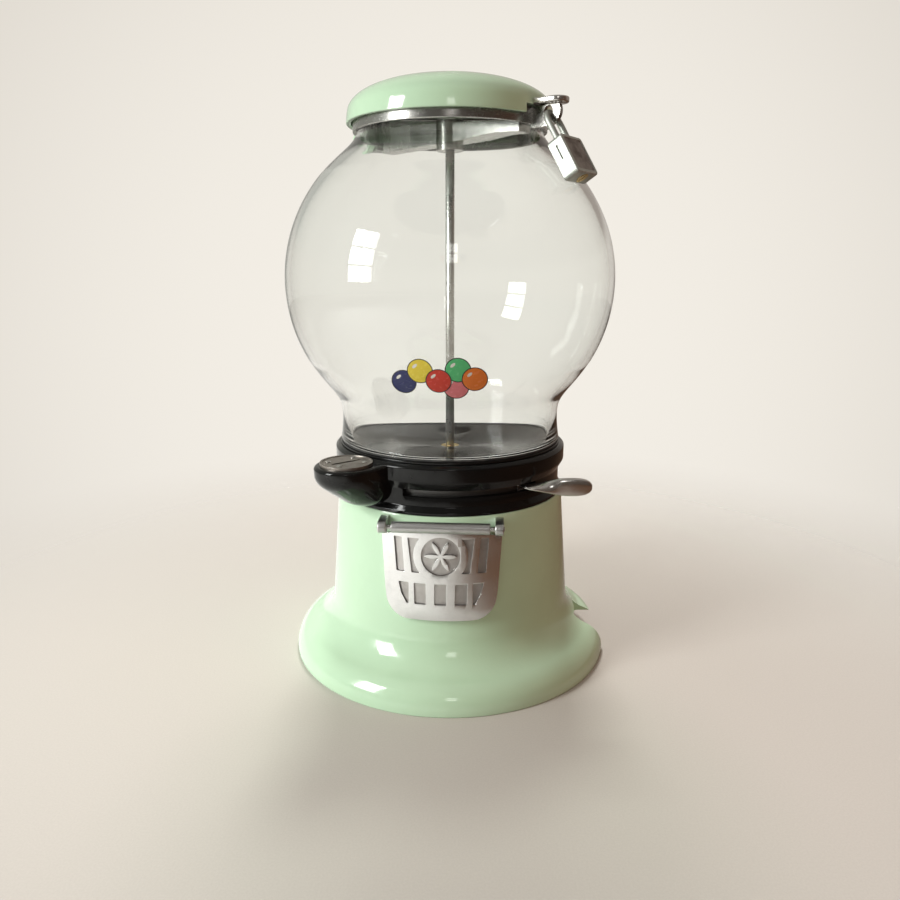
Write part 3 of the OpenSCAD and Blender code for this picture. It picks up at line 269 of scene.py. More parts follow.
@dataclass(frozen=True)
class ClearGlass:
    """Moulded clear glass with faint waves, and smears where hands wiped it."""

    name: str
    tint: Colour = (0.975, 0.99, 0.982)

    def material(self) -> bpy.types.Material:
        """Makes the glass, which lets lamp light through to what it holds."""
        g = Graph.of_material(self.name)
        place = g.place()
        wave = g.noise(g.stretched(place, (14, 14, 9)), 1, 1)
        wiped = g.span(g.noise(g.stretched(place, (22, 22, 60)), 1, 5, 0.65), 0.5, 0.8)
        specks = g.span(g.noise(place, 1500, 2), 0.74, 0.8)
        glass = g.surface({"Base Color": self.tint, "Roughness": 0.004 + wiped * 0.03 + specks * 0.05, "IOR": 1.5,
                           "Transmission Weight": 1.0, "Normal": g.bump(wave, 0.0012, 0.25)})
        clear = g.add("ShaderNodeBsdfTransparent", None, {"Color": (0.9, 0.93, 0.91)})
        shade = g.ray("Is Shadow Ray")
        return g.close(g.add("ShaderNodeMixShader", None, {0: shade, 1: glass, 2: clear}))


@dataclass(frozen=True)
class Rubber:
    """Matt black gasket rubber with a dusty bloom."""

    name: str
    colour: Colour
    bloom: Colour = (0.12, 0.115, 0.11)

    def material(self) -> bpy.types.Material:
        """Makes the rubber's material."""
        g = Graph.of_material(self.name)
        place = g.place()
        bloom = g.span(g.noise(place, 160, 5, 0.6), 0.4, 0.75)
        skin = g.noise(place, 1400, 2)
        return g.close(g.surface({
            "Base Color": g.mix(bloom * 0.5, self.colour, self.bloom), "Roughness": 0.55 + bloom * 0.25,
            "Normal": g.bump(skin, 0.00005, 0.6)}))


@dataclass(frozen=True)
class Ink:
    """Glossy transfer ink with a slightly uneven film."""

    name: str
    colour: Colour

    def material(self) -> bpy.types.Material:
        """Makes the ink's material."""
        g = Graph.of_material(self.name)
        place = g.place()
        film = g.noise(place, 420, 3)
        thin = tuple(min(1.0, c * 1.25 + 0.015) for c in self.colour)
        return g.close(g.surface({
            "Base Color": g.mix(g.span(film, 0.4, 0.75) * 0.3, self.colour, thin), "Roughness": 0.2 + film * 0.12,
            "Normal": g.bump(film, 0.00003, 0.5)}))


class Finish(Enum):
    """The record's material slots."""

    MINT = "mint_enamel"
    BLACK = "black_enamel"
    ALUMINIUM = "polished_aluminium"
    STEEL = "steel"
    SHEET = "plain_sheet"
    WARM = "warm_steel"
    NICKEL = "nickel"
    DARK_NICKEL = "dark_nickel"
    CAST = "cast_metal"
    BRASS = "brass"
    RUBBER = "rubber"
    GLASS = "clear_glass"
    PADLOCK = "padlock_steel"


SATIN = Metal("satin_hinge_metal", (0.56, 0.55, 0.54), (0.30, 0.28, 0.27), 0.3, (60.0, 900.0, 900.0), 0.000006, 0.5,
              0.00005, 0.1)
SUNK = Metal("sunk_cast_aluminium", (0.56, 0.53, 0.51), (0.30, 0.27, 0.25), 0.34, (300.0, 300.0, 300.0), 0.00003,
             0.5, 0.0003, 0.2)
# Near-black metal for the lower walls of the flap's sunk panels: painted shade in the recesses.
PANEL_WALL_SHADE = Metal("grimy_panel_edge", (0.16, 0.145, 0.135), (0.07, 0.06, 0.055), 0.4, stained=0.6)
WORN_FACE = Metal("padlock_worn_face", (0.42, 0.38, 0.35), (0.10, 0.08, 0.07), 0.42, (260.0, 260.0, 260.0), 0.00006,
                  0.9, 0.0006)


class Palette:
    """The machine's materials, each made once."""

    recipes: dict[Finish, Enamel | Metal | ClearGlass | Rubber] = {
        Finish.MINT: Enamel("mint_gloss_enamel", srgb(207, 237, 203), srgb(198, 227, 193), srgb(96, 108, 92)),
        Finish.BLACK: Enamel("black_gloss_enamel", (0.006, 0.006, 0.006), (0.012, 0.011, 0.010), (0.10, 0.09, 0.08),
                             0.1, 0.00016, gloss=0.2),
        Finish.ALUMINIUM: Metal("cast_polished_aluminium", (0.80, 0.79, 0.78), (0.60, 0.58, 0.56), 0.13,
                                (500.0, 500.0, 60.0), 0.000003, 0.22, 0.00003, 0.0, bright=(0.92, 0.91, 0.90)),
        Finish.STEEL: Metal("plain_steel", (0.60, 0.59, 0.57), (0.25, 0.22, 0.19), 0.22, stained=0.45),
        Finish.SHEET: Metal("satin_sheet", (0.52, 0.53, 0.54), (0.33, 0.32, 0.31), 0.36,
                            (2200.0, 90.0, 90.0), 0.00002, 0.4, 0.0001),
        Finish.WARM: Metal("aged_coin_plate_steel", (0.36, 0.32, 0.285), (0.12, 0.10, 0.085), 0.3,
                           (1800.0, 300.0, 300.0), 0.00003, 0.7, 0.0001),
        Finish.NICKEL: Metal("nickel_plate", (0.72, 0.69, 0.66), (0.40, 0.35, 0.32), 0.13,
                             (600.0, 600.0, 200.0), 0.00001, 0.3, 0.00012),
        # A darker nickel, used for the collar under the lid's rim.
        Finish.DARK_NICKEL: Metal("worn_nickel_plate", (0.40, 0.39, 0.37), (0.14, 0.13, 0.12), 0.17,
                                  (140.0, 140.0, 1800.0), 0.00002, 0.5, 0.00012),
        Finish.CAST: Metal("darkened_cast_metal", (0.16, 0.155, 0.15), (0.07, 0.065, 0.06), 0.42,
                           (300.0, 300.0, 300.0), 0.00004, 0.5, 0.0002, bright=(0.4, 0.39, 0.37)),
        Finish.BRASS: Metal("plain_brass", (0.70, 0.52, 0.22), (0.26, 0.17, 0.08), 0.24, stained=0.45,
                            bright=(0.86, 0.70, 0.38)),
        Finish.RUBBER: Rubber("gasket_rubber", (0.022, 0.021, 0.02)),
        Finish.GLASS: ClearGlass("globe_glass"),
        Finish.PADLOCK: Metal("padlock_plate", (0.60, 0.62, 0.57), (0.36, 0.34, 0.30), 0.48,
                              (400.0, 400.0, 1500.0), 0.00002, 0.3, 0.0001),
    }

    def __init__(self) -> None:
        """Starts with nothing made."""
        self.made: dict[Finish | Metal | Ink, bpy.types.Material] = {}

    def of(self, look: Finish | Metal | Ink) -> bpy.types.Material:
        """The material of a finish, or of a recipe outside the record's slots."""
        if look not in self.made:
            self.made[look] = self.recipes.get(look, look).material()
        return self.made[look]


PALETTE = Palette()


def arc(centre: Point, radius: float, start: float, stop: float, steps: int = 12) -> list[Point]:
    """Points of a circular arc between two angles in degrees, in that many chords, both ends included."""
    turns = [radians(start + (stop - start) * i / steps) for i in range(steps + 1)]
    return [(centre[0] + radius * cos(a), centre[1] + radius * sin(a)) for a in turns]


def rounded(corners: Sequence[Sequence[float]], steps: int = 5) -> list[Point]:
    """An outline through corners, some of them rounded.

    Args:
        corners: x and y of each corner, with the radius of its rounding where it has one.
        steps: chords to a rounding.

    Returns:
        The outline's points.
    """
    outline: list[Point] = []
    for i, corner in enumerate(corners):
        here = Vector(corner[:2])
        back = Vector(corners[i - 1][:2]) - here
        ahead = Vector(corners[(i + 1) % len(corners)][:2]) - here
        half = back.angle(ahead, pi) / 2
        if len(corner) < 3 or half > radians(89.5):
            outline.append(tuple(here))
            continue
        run = min(corner[2] / tan(half), 0.49 * back.length, 0.49 * ahead.length)
        centre = here + (back.normalized() + ahead.normalized()).normalized() * run / cos(half)
        first = here + back.normalized() * run - centre
        last = here + ahead.normalized() * run - centre
        start = atan2(first.y, first.x)
        sweep = (atan2(last.y, last.x) - start + pi) % (2 * pi) - pi
        outline += arc(tuple(centre), first.length, degrees(start), degrees(start + sweep), steps)
    return outline


def sector(inner: float, outer: float, start: float, stop: float, steps: int = 28) -> list[Point]:
    """Outline of a piece of a ring between two radii and two angles."""
    return arc((0, 0), outer, start, stop, steps) + arc((0, 0), inner, stop, start, steps)


def tongue(root: float, reach: float, radius: float, steps: int = 14) -> list[Point]:
    """Outline of a strip along X from root, with a round end about reach."""
    return [(root, -radius)] + arc((reach, 0), radius, -90, 90, steps) + [(root, radius)]


def eased(outline: Sequence[Point], spacing: float, rounds: int, held: Callable[[Point], bool]) -> list[Point]:
    """Spaces an open outline evenly and eases its corners.

    Args:
        outline: the points.
        spacing: distance between the new points.
        rounds: how often each point moves towards the middle of its neighbours.
        held: tells whether a point stays put.

    Returns:
        The new points.
    """
    points = [Vector(outline[0])]
    for first, last in zip(outline, outline[1:]):
        run = Vector(last) - Vector(first)
        count = max(1, round(run.length / spacing))
        points += [Vector(first) + run * (k + 1) / count for k in range(count)]
    for _ in range(rounds):
        middles = [(a + c) / 2 for a, c in zip(points, points[2:])]
        for i, middle in enumerate(middles, 1):
            if not held(points[i]):
                points[i] = points[i].lerp(middle, 0.6)
    return [tuple(p) for p in points]


def frame_of(origin: Sequence[float], across: Sequence[float], up: Sequence[float]) -> Matrix:
    """A place whose X runs along across, whose Y runs along up, and whose Z is square to both."""
    x, y = Vector(across).normalized(), Vector(up).normalized()
    z = x.cross(y)
    turn = Matrix((x, y, z)).transposed().to_4x4()
    return Matrix.Translation(origin) @ turn


def turned(angle: float, x: float = 0.0, y: float = 0.0, z: float = 0.0) -> Matrix:
    """A place at x, y and z in a frame that is turned about the machine's axis by an angle in degrees."""
    return Matrix.Rotation(radians(angle), 4, "Z") @ Matrix.Translation((x, y, z))


def link(name: str, data: bpy.types.ID) -> bpy.types.Object:
    """Puts an object with that data into the scene."""
    obj = bpy.data.objects.new(name, data)
    bpy.context.scene.collection.objects.link(obj)
    return obj


class Form:
    """A mesh that is shaped in millimetres and becomes a piece of the scene in metres."""

    def __init__(self) -> None:
        """Starts empty, with the mark for rubbed edges."""
        self.bm = bmesh.new()
        self.bm.faces.layers.float.new("wear")

    @classmethod
    def lathe(cls, outline: Sequence[Point], steps: int = 96, closed: bool = True) -> "Form":
        """Spins an outline about Z.

        Args:
            outline: radius and height of each point.
            steps: parts of the turn.
            closed: whether the last point joins the first; an outline from axis to axis stays open.

        Returns:
            The round form.
        """
        form = cls()
        verts = [form.bm.verts.new((r, 0, z)) for r, z in outline]
        edges = [form.bm.edges.new(pair) for pair in zip(verts, verts[1:])]
        if closed:
            edges.append(form.bm.edges.new((verts[-1], verts[0])))
        bmesh.ops.spin(form.bm, geom=verts + edges, cent=(0, 0, 0), axis=(0, 0, 1), angle=2 * pi, steps=steps,
                       use_merge=True)
        return form.tidy()

    @classmethod
    def plate(cls, outline: Sequence[Point], low: float, high: float) -> "Form":
        """Extrudes a flat outline along Z, from low to high."""
        form = cls()
        face = form.bm.faces.new([form.bm.verts.new((x, y, low)) for x, y in outline])
        made = bmesh.ops.extrude_face_region(form.bm, geom=[face])["geom"]
        moved = [v for v in made if isinstance(v, bmesh.types.BMVert)]
        bmesh.ops.translate(form.bm, vec=(0, 0, high - low), verts=moved)
        return form.fill()

    @classmethod
    def disc(cls, radius: float, low: float, high: float, steps: int, centre: Point = (0, 0)) -> "Form":
        """Extrudes a circle along Z, from low to high."""
        return cls.plate(arc(centre, radius, 0, 360, steps)[:-1], low, high)

    @classmethod
    def block(cls, across: Point, along: Point, low: float, high: float) -> "Form":
        """A box between two values of X, two of Y and two of Z."""
        (left, right), (near, far) = across, along
        return cls.plate([(left, near), (right, near), (right, far), (left, far)], low, high)

    @classmethod
    def pin(cls, radius: float, half: float, edge: float, steps: int = 28) -> "Form":
        """A round pin along Z, half its length either way, with rounded ends."""
        return cls.lathe(rounded([(0, -half), (radius, -half, edge), (radius, half, edge), (0, half)]), steps, False)

    @classmethod
    def loft(cls, rings: Sequence[Matrix], segments: int = 16, square: float = 1.0) -> "Form":
        """Skins a row of rings.

        Args:
            rings: place, turn and half sizes of each ring.
            segments: points of a ring.
            square: 1 for an ellipse, less for a ring with fuller corners.

        Returns:
            The skin, closed at both ends.
        """
        form = cls()
        loops = []
        for ring in rings:
            verts = bmesh.ops.create_circle(form.bm, segments=segments, radius=1)["verts"]
            for v in verts:
                v.co = [abs(c) ** square * (1 if c > 0 else -1) for c in v.co]
            bmesh.ops.transform(form.bm, matrix=ring, verts=verts)
            loops.append(list(dict.fromkeys(e for v in verts for e in v.link_edges)))
        for first, last in zip(loops, loops[1:]):
            bmesh.ops.bridge_loops(form.bm, edges=first + last)
        for end in (loops[0], loops[-1]):
            bmesh.ops.holes_fill(form.bm, edges=end, sides=0)
        return form.tidy()

    @classmethod
    def of_node(cls, name: str, flat: float = 0.8) -> "Form":
        """A merged copy of a node of the frame, its flat faces made whole.

        Args:
            name: the node.
            flat: the angle in degrees up to which faces count as flat.

        Returns:
            The copy.
        """
        form = cls()
        form.bm.from_mesh(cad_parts[name].data)
        bmesh.ops.scale(form.bm, vec=(1 / MM,) * 3, verts=form.bm.verts)
        bmesh.ops.remove_doubles(form.bm, verts=form.bm.verts, dist=0.005)
        bmesh.ops.dissolve_limit(form.bm, angle_limit=radians(flat), verts=form.bm.verts, edges=form.bm.edges)
        return form

    @property
    def geom(self) -> list:
        """All points, edges and faces."""
        return self.bm.verts[:] + self.bm.edges[:] + self.bm.faces[:]

    def mesh(self, name: str) -> bpy.types.Mesh:
        """A new mesh with this form's shape."""
        mesh = bpy.data.meshes.new(name)
        self.bm.to_mesh(mesh)
        return mesh

    def hull(self) -> "Form":
        """Shrink-wraps the form."""
        made = bmesh.ops.convex_hull(self.bm, input=self.geom)
        inside = [g for g in made["geom_interior"] + made["geom_unused"] if isinstance(g, bmesh.types.BMVert)]
        bmesh.ops.delete(self.bm, geom=list(dict.fromkeys(inside)), context="VERTS")
        kept = {f for f in made["geom"] if isinstance(f, bmesh.types.BMFace) and f.is_valid}
        spare = [f for f in self.bm.faces if f not in kept]
        bmesh.ops.delete(self.bm, geom=spare, context="FACES_ONLY")
        loose = [e for e in self.bm.edges if not e.link_faces]
        bmesh.ops.delete(self.bm, geom=loose, context="EDGES")
        bmesh.ops.dissolve_limit(self.bm, angle_limit=radians(0.4), verts=self.bm.verts, edges=self.bm.edges)
        return self.tidy()

    def tidy(self) -> "Form":
        """Merges doubles and turns the faces outwards."""
        bmesh.ops.remove_doubles(self.bm, verts=self.bm.verts, dist=MERGE)
        bmesh.ops.recalc_face_normals(self.bm, faces=self.bm.faces)
        return self.settle()

    def fill(self) -> "Form":
        """Closes the open rims and tidies the form."""
        bmesh.ops.holes_fill(self.bm, edges=[e for e in self.bm.edges if e.is_boundary], sides=0)
        return self.tidy()

    def settle(self) -> "Form":
        """Orders points, edges and faces by where they are, so that every run goes on from the same mesh."""
        rows = ((self.bm.verts, lambda v: v.co), (self.bm.edges, lambda e: (e.verts[0].co + e.verts[1].co) / 2),
                (self.bm.faces, lambda f: f.calc_center_median()))
        for row, middle in rows:
            spots = sorted((tuple(round(c, 3) for c in middle(item)), i) for i, item in enumerate(row))
            rank = {i: place for place, (_, i) in enumerate(spots)}
            row.index_update()
            row.sort(key=lambda item: rank[item.index])
            row.index_update()
        return self

    def place(self, matrix: Matrix) -> "Form":
        """Moves the form."""
        bmesh.ops.transform(self.bm, matrix=matrix, verts=self.bm.verts)
        return self

    def join(self, *others: "Form") -> "Form":
        """Takes other forms in as they are."""
        for other in others:
            mesh = other.mesh("joined")
            self.bm.from_mesh(mesh)
            bpy.data.meshes.remove(mesh)
        return self

    def copies(self, places: Sequence[Matrix]) -> "Form":
        """A new form with a copy of this one at each place."""
        form = Form()
        for matrix in places:
            form.join(Form().join(self).place(matrix))
        return form

    def boolean(self, tool: "Form", operation: str) -> "Form":
        """Cuts, joins or crosses this form with another.

        Args:
            tool: the other form.
            operation: the Boolean modifier's operation.

        Returns:
            This form.
        """
        objects = [link("blank", form.mesh("blank")) for form in (self, tool)]
        step = objects[0].modifiers.new("shape", "BOOLEAN")
        step.operation = operation
        step.solver = "EXACT"
        step.object = objects[1]
        bpy.context.view_layer.update()
        result = bpy.data.meshes.new_from_object(objects[0].evaluated_get(bpy.context.evaluated_depsgraph_get()))
        self.bm.clear()
        self.bm.from_mesh(result)
        for mesh in [o.data for o in objects] + [result]:
            bpy.data.meshes.remove(mesh)
        bmesh.ops.remove_doubles(self.bm, verts=self.bm.verts, dist=MERGE)
        return self.settle()

    def cut(self, *tools: "Form") -> "Form":
        """Takes other forms away from this one."""
        for tool in tools:
            self.boolean(tool, "DIFFERENCE")
        return self

    def unite(self, *tools: "Form") -> "Form":
        """Melts other forms into this one."""
        for tool in tools:
            self.boolean(tool, "UNION")
        return self

    def soften(self, width: float, angle: float = 35.0, segments: int = 2,
               where: Callable[[Vector], bool] = lambda middle: True) -> "Form":
        """Bevels the sharp edges and marks them as rubbed.

        Args:
            width: width of the bevel.
            angle: the angle in degrees from which an edge counts as sharp.
            segments: faces across the bevel.
            where: tells from an edge's middle whether it is bevelled.

        Returns:
            This form.
        """
        layer = self.bm.faces.layers.float["wear"]
        edges = [e for e in self.bm.edges if len(e.link_faces) == 2 and e.calc_face_angle(0) > radians(angle)
                 and where((e.verts[0].co + e.verts[1].co) / 2)]
        made = bmesh.ops.bevel(self.bm, geom=edges, offset=width, offset_type="OFFSET", segments=segments, profile=0.5,
                               affect="EDGES", clamp_overlap=True, material=-1)
        for face in made["faces"]:
            face[layer] = 1.0
        return self

    def slices(self, normal: Sequence[float], places: Sequence[float]) -> "Form":
        """Cuts the faces along planes, so that they can be bent."""
        for place in places:
            bmesh.ops.bisect_plane(self.bm, geom=self.geom, dist=MERGE, plane_co=Vector(normal) * place,
                                   plane_no=normal)
        return self

    def trim(self, point: Sequence[float], normal: Sequence[float]) -> "Form":
        """Takes away what lies beyond a plane and closes the cut."""
        bmesh.ops.bisect_plane(self.bm, geom=self.geom, dist=MERGE, plane_co=point, plane_no=normal,
                               clear_outer=True)
        return self.fill()

    def bend(self, law: Callable[[Vector], Sequence[float]]) -> "Form":
        """Moves every point by a law."""
        for v in self.bm.verts:
            v.co = law(v.co)
        return self

    def paint(self, index: int, where: Callable[[Vector, Vector], bool]) -> "Form":
        """Gives faces another of the piece's materials.

        Args:
            index: number of the material.
            where: tells from a face's middle and normal whether it gets it.

        Returns:
            This form.
        """
        self.bm.normal_update()
        for face in self.bm.faces:
            if where(face.calc_center_median(), face.normal):
                face.material_index = index
        return self

    def piece(self, name: str, body: str | None, finish: Finish | None, node: str | None = None,
              extra: Sequence[bpy.types.Material] = (), sharp: float = 40.0, even: bool = False) -> bpy.types.Object:
        """Makes the form a piece of the scene.

        Args:
            name: the piece's name.
            body: the body that it rides on, or None for a piece that bends between two.
            finish: its finish, or None for a piece with materials of its own.
            node: the node of the frame that it stands for.
            extra: further materials.
            sharp: the angle in degrees from which an edge shades sharp.
            even: whether large faces lead the shading, as on bevelled blocks.

        Returns:
            The object.
        """
        self.settle()
        bmesh.ops.scale(self.bm, vec=(MM,) * 3, verts=self.bm.verts)
        mesh = self.mesh(name)
        self.bm.free()
        if "custom_normal" in mesh.attributes:
            mesh.attributes.remove(mesh.attributes["custom_normal"])
        mesh.shade_smooth()
        mesh.set_sharp_from_angle(angle=radians(sharp))
        for material in ([PALETTE.of(finish)] if finish else []) + list(extra):
            mesh.materials.append(material)
        obj = link(name, mesh)
        if even:
            obj.modifiers.new("even", "WEIGHTED_NORMAL").keep_sharp = True
        if body:
            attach(obj, body)
        if node:
            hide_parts(node)
        LOG.info("%s: %d faces on %s", name, len(mesh.polygons), body)
        return obj


def copy_piece(node: str, body: str, finish: Finish, width: float) -> bpy.types.Object:
    """Makes a piece from a node of the frame, on that body, with edges softened to that width."""
    return Form.of_node(node).soften(width).piece(node + "_dressed", body, finish, node, even=True)


@dataclass
class Screw:
    """A slotted screw along Z: its head stands on the plane of Z = 0, its shank goes down."""

    head_r: float
    head_h: float
    shank_r: float
    shank_len: float

    def form(self) -> Form:
        """Builds the screw with a domed, slotted head."""
        outline = rounded([(0, -self.shank_len), (self.shank_r, -self.shank_len, 0.3), (self.shank_r, 0),
                           (self.head_r, 0, 0.08), (self.head_r, 0.6 * self.head_h, 0.25 * self.head_h),
                           (0.5 * self.head_r, 0.96 * self.head_h), (0, self.head_h)], 4)
        slot_w = 0.26 * self.head_r
        reach = 2 * self.head_r
        slot = Form.block((-reach, reach), (-slot_w / 2, slot_w / 2), 0.45 * self.head_h, 2 * self.head_h)
        return Form.lathe(outline, 32, False).cut(slot).soften(0.04 * self.head_r, 50)

    def build(self, name: str, body: str, node: str, places: Sequence[Matrix]) -> None:
        """Builds and dresses a set of these screws as one piece."""
        self.form().copies(places).piece(name, body, Finish.STEEL, node)


@dataclass
class Base:
    """The flared base casting with its lugs and recess, the cash door, and the plate below."""

    rim_r: float = 114.0
    height: float = 120.0
    neck_r: float = 80.0
    waist_r: float = 86.0
    taper: float = 5.0
    flare_r: float = 26.0
    skirt_r: float = 18.0
    lip_h: float = 2.0
    wall: float = 4.5
    flange_t: float = 5.0
    flange_hole_r: float = 62.0
    rim_round: float = 0.9
    crown: tuple[Point, ...] = ((-1.0, 0.0), (-0.25, -0.2), (0.06, -0.9))
    mouth: tuple[float, float, float] = (27.0, 62.0, 106.0)
    mouth_back: float = 57.0
    door_back: float = 40.0
    door: tuple[float, float, float, float] = (50.0, 130.0, 42.0, 92.0)
    door_hinge: tuple[float, float, float] = (138.0, 92.515, 4.5)
    recess: tuple[float, float, float, float] = (-9.0, 30.0, 93.0, 16.5)
    recess_way: float = 15.0
    recess_wall: float = 4.0
    recess_round: float = 4.5
    recess_skin: float = 0.4
    spare: float = 4.0
    lug: tuple[float, float, float, float, float] = (34.0, 39.5, 84.417, 114.5, 4.0)
    lug_root: float = 72.0
    knuckle_root: float = 76.0
    knuckle_len: float = 10.0
    boss: tuple[float, float, float] = (6.0, 5.5, 12.5)
    screw_angles: tuple[float, ...] = (62.0, 152.0, 236.0, 306.0)
    screw_ring_r: float = 101.0
    flare_turn: float = field(init=False)
    waist_z: float = field(init=False)

    def __post_init__(self) -> None:
        """Works out where the flare meets neck and skirt."""
        reach = self.flare_r * cos(radians(self.taper)) + self.skirt_r - (self.rim_r - self.waist_r)
        turn = acos(reach / (self.flare_r + self.skirt_r))
        self.flare_turn = degrees(turn)
        self.waist_z = (self.lip_h + self.flare_r * (sin(turn) - sin(radians(self.taper))) + self.skirt_r * sin(turn))

    def neck_at(self, z: float) -> float:
        """Outside radius of the straight neck at a height."""
        return self.neck_r + (self.waist_r - self.neck_r) * (self.height - z) / (self.height - self.waist_z)

    def bell(self, inset: float) -> list[Point]:
        """The bell's outline from top to bottom, moved inwards."""
        taper = radians(self.taper)
        flare = (self.waist_r + self.flare_r * cos(taper), self.waist_z + self.flare_r * sin(taper))
        skirt = (self.rim_r - self.skirt_r, self.lip_h)
        top = (self.neck_r - inset, self.height)
        knee = arc(flare, self.flare_r + inset, 180 + self.taper, 180 + self.flare_turn, 20)
        neck = [tuple(Vector(top).lerp(Vector(knee[0]), i / 9)) for i in range(9)]
        return neck + knee + arc(skirt, self.skirt_r - inset, self.flare_turn, 0, 20)[1:] + [(self.rim_r - inset, 0)]

    def shell(self) -> Form:
        """The bell with its flange, rounded at its two rims."""
        outer, inner = self.bell(0), self.bell(self.wall)[::-1]
        rim = rounded([outer[-2], (*outer[-1], self.rim_round), (*inner[0], self.rim_round), inner[1]])[1:-1]
        flange_z = self.height - self.flange_t
        top = [(self.neck_r - self.wall, flange_z), (self.flange_hole_r, flange_z), (self.flange_hole_r, self.height)]
        crown = [(self.neck_r + x, self.height + z) for x, z in self.crown]
        return Form.lathe(crown + outer[1:-1] + rim + inner[1:-1] + top, 144)

    def recess_forms(self) -> tuple[Form, Form]:
        """The wall round the hook recess, and the recess itself."""
        start, stop, inner, top = self.recess
        blocks = []
        wall_end, room_end = self.rim_r - self.recess_skin, self.rim_r + self.spare
        for grow, outer, low in ((self.recess_wall, wall_end, 0.0), (0.0, room_end, -2.0)):
            more = grow / 2
            block = Form.plate(sector(inner - grow, outer, start - more, stop + more), low, top + grow)
            inside = inner - grow + 0.5
            block.soften(self.recess_round, 40, 5, lambda m: m.z > top + grow - 0.1 and m.xy.length < inside)
            blocks.append(block)
        wall, room = blocks
        wall.boolean(Form.lathe(self.bell(self.recess_skin) + [(0, 0), (0, self.height)], 144), "INTERSECT")
        return wall, room

    def lugs(self) -> Form:
        """The two bare metal lugs of the flap's pin, and the two of the cash door's pin."""
        near, far, reach, z, radius = self.lug
        ear = tongue(self.lug_root, reach, radius)
        place = frame_of((0, 0, z), (0, -1, 0), (0, 0, 1))
        both = [Form.plate(ear, low, low + far - near).soften(0.7, 35, 3).place(place) for low in (-far, near)]
        for lug in both:
            lug.paint(1, lambda middle, normal: True)
        angle, hinge_r, knuckle_r = self.door_hinge
        knuckle = tongue(self.knuckle_root, hinge_r, knuckle_r)
        for low in (self.door[2] + 4, self.door[3] - 14):
            both.append(Form.plate(knuckle, low, low + self.knuckle_len).soften(0.7, 35, 3).place(turned(angle)))
        return both[0].join(*both[1:])

    def bosses(self) -> Form:
        """Screw bosses that carry the bottom plate."""
        radius, low, high = self.boss
        boss = Form.lathe(rounded([(0, low), (radius, low, 0.4), (radius, high, 0.8), (0, high)]), 32, False)
        return boss.copies([turned(a, self.screw_ring_r) for a in self.screw_angles])

    def build(self) -> None:
        """Builds and dresses the base and what is fastened to it."""
        half, low, high = self.mouth
        wall, room = self.recess_forms()
        start, stop, door_low, door_high = self.door
        mouth = Form.block((-half, half), (-self.rim_r, -self.mouth_back), low, high)
        doorway = Form.plate(sector(self.door_back, self.rim_r, start, stop), door_low, door_high)
        first, _, inner, _ = self.recess
        room_end = self.rim_r + self.spare
        way = Form.plate(sector(inner, room_end, first, first + self.recess_way), -2, self.waist_z)
        casting = self.shell().unite(wall).cut(room, way, mouth, doorway).soften(0.45, 45)
        casting.join(self.lugs(), self.bosses())
        casting.piece("base_bell", "machine", Finish.MINT, "base_casting", [PALETTE.of(SATIN)])
        copy_piece("cash_door", "cash_door", Finish.MINT, 0.6)
        copy_piece("cash_lock_body", "cash_door", Finish.NICKEL, 0.4)
        copy_piece("cash_lock_cam", "cash_lock", Finish.NICKEL, 0.25)
        copy_piece("bottom_plate", "machine", Finish.SHEET, 0.4)
        angle, hinge_r, _ = self.door_hinge
        pin = rounded([(0, 45), (2, 45, 0.5), (2, 89), (2.6, 89), (2.6, 89.6, 0.4), (0, 89.9)])
        pin = Form.lathe(pin, 32, False).place(turned(angle, hinge_r))
        pin.piece("door_hinge_pin", "machine", Finish.STEEL, "cash_door_pin")
        spots = [turned(a, self.screw_ring_r, 0, 3) @ FLIP for a in self.screw_angles]
        Screw(4, 2.3, 2, 8).build("bottom_plate_screws", "machine", "bottom_screws", spots)


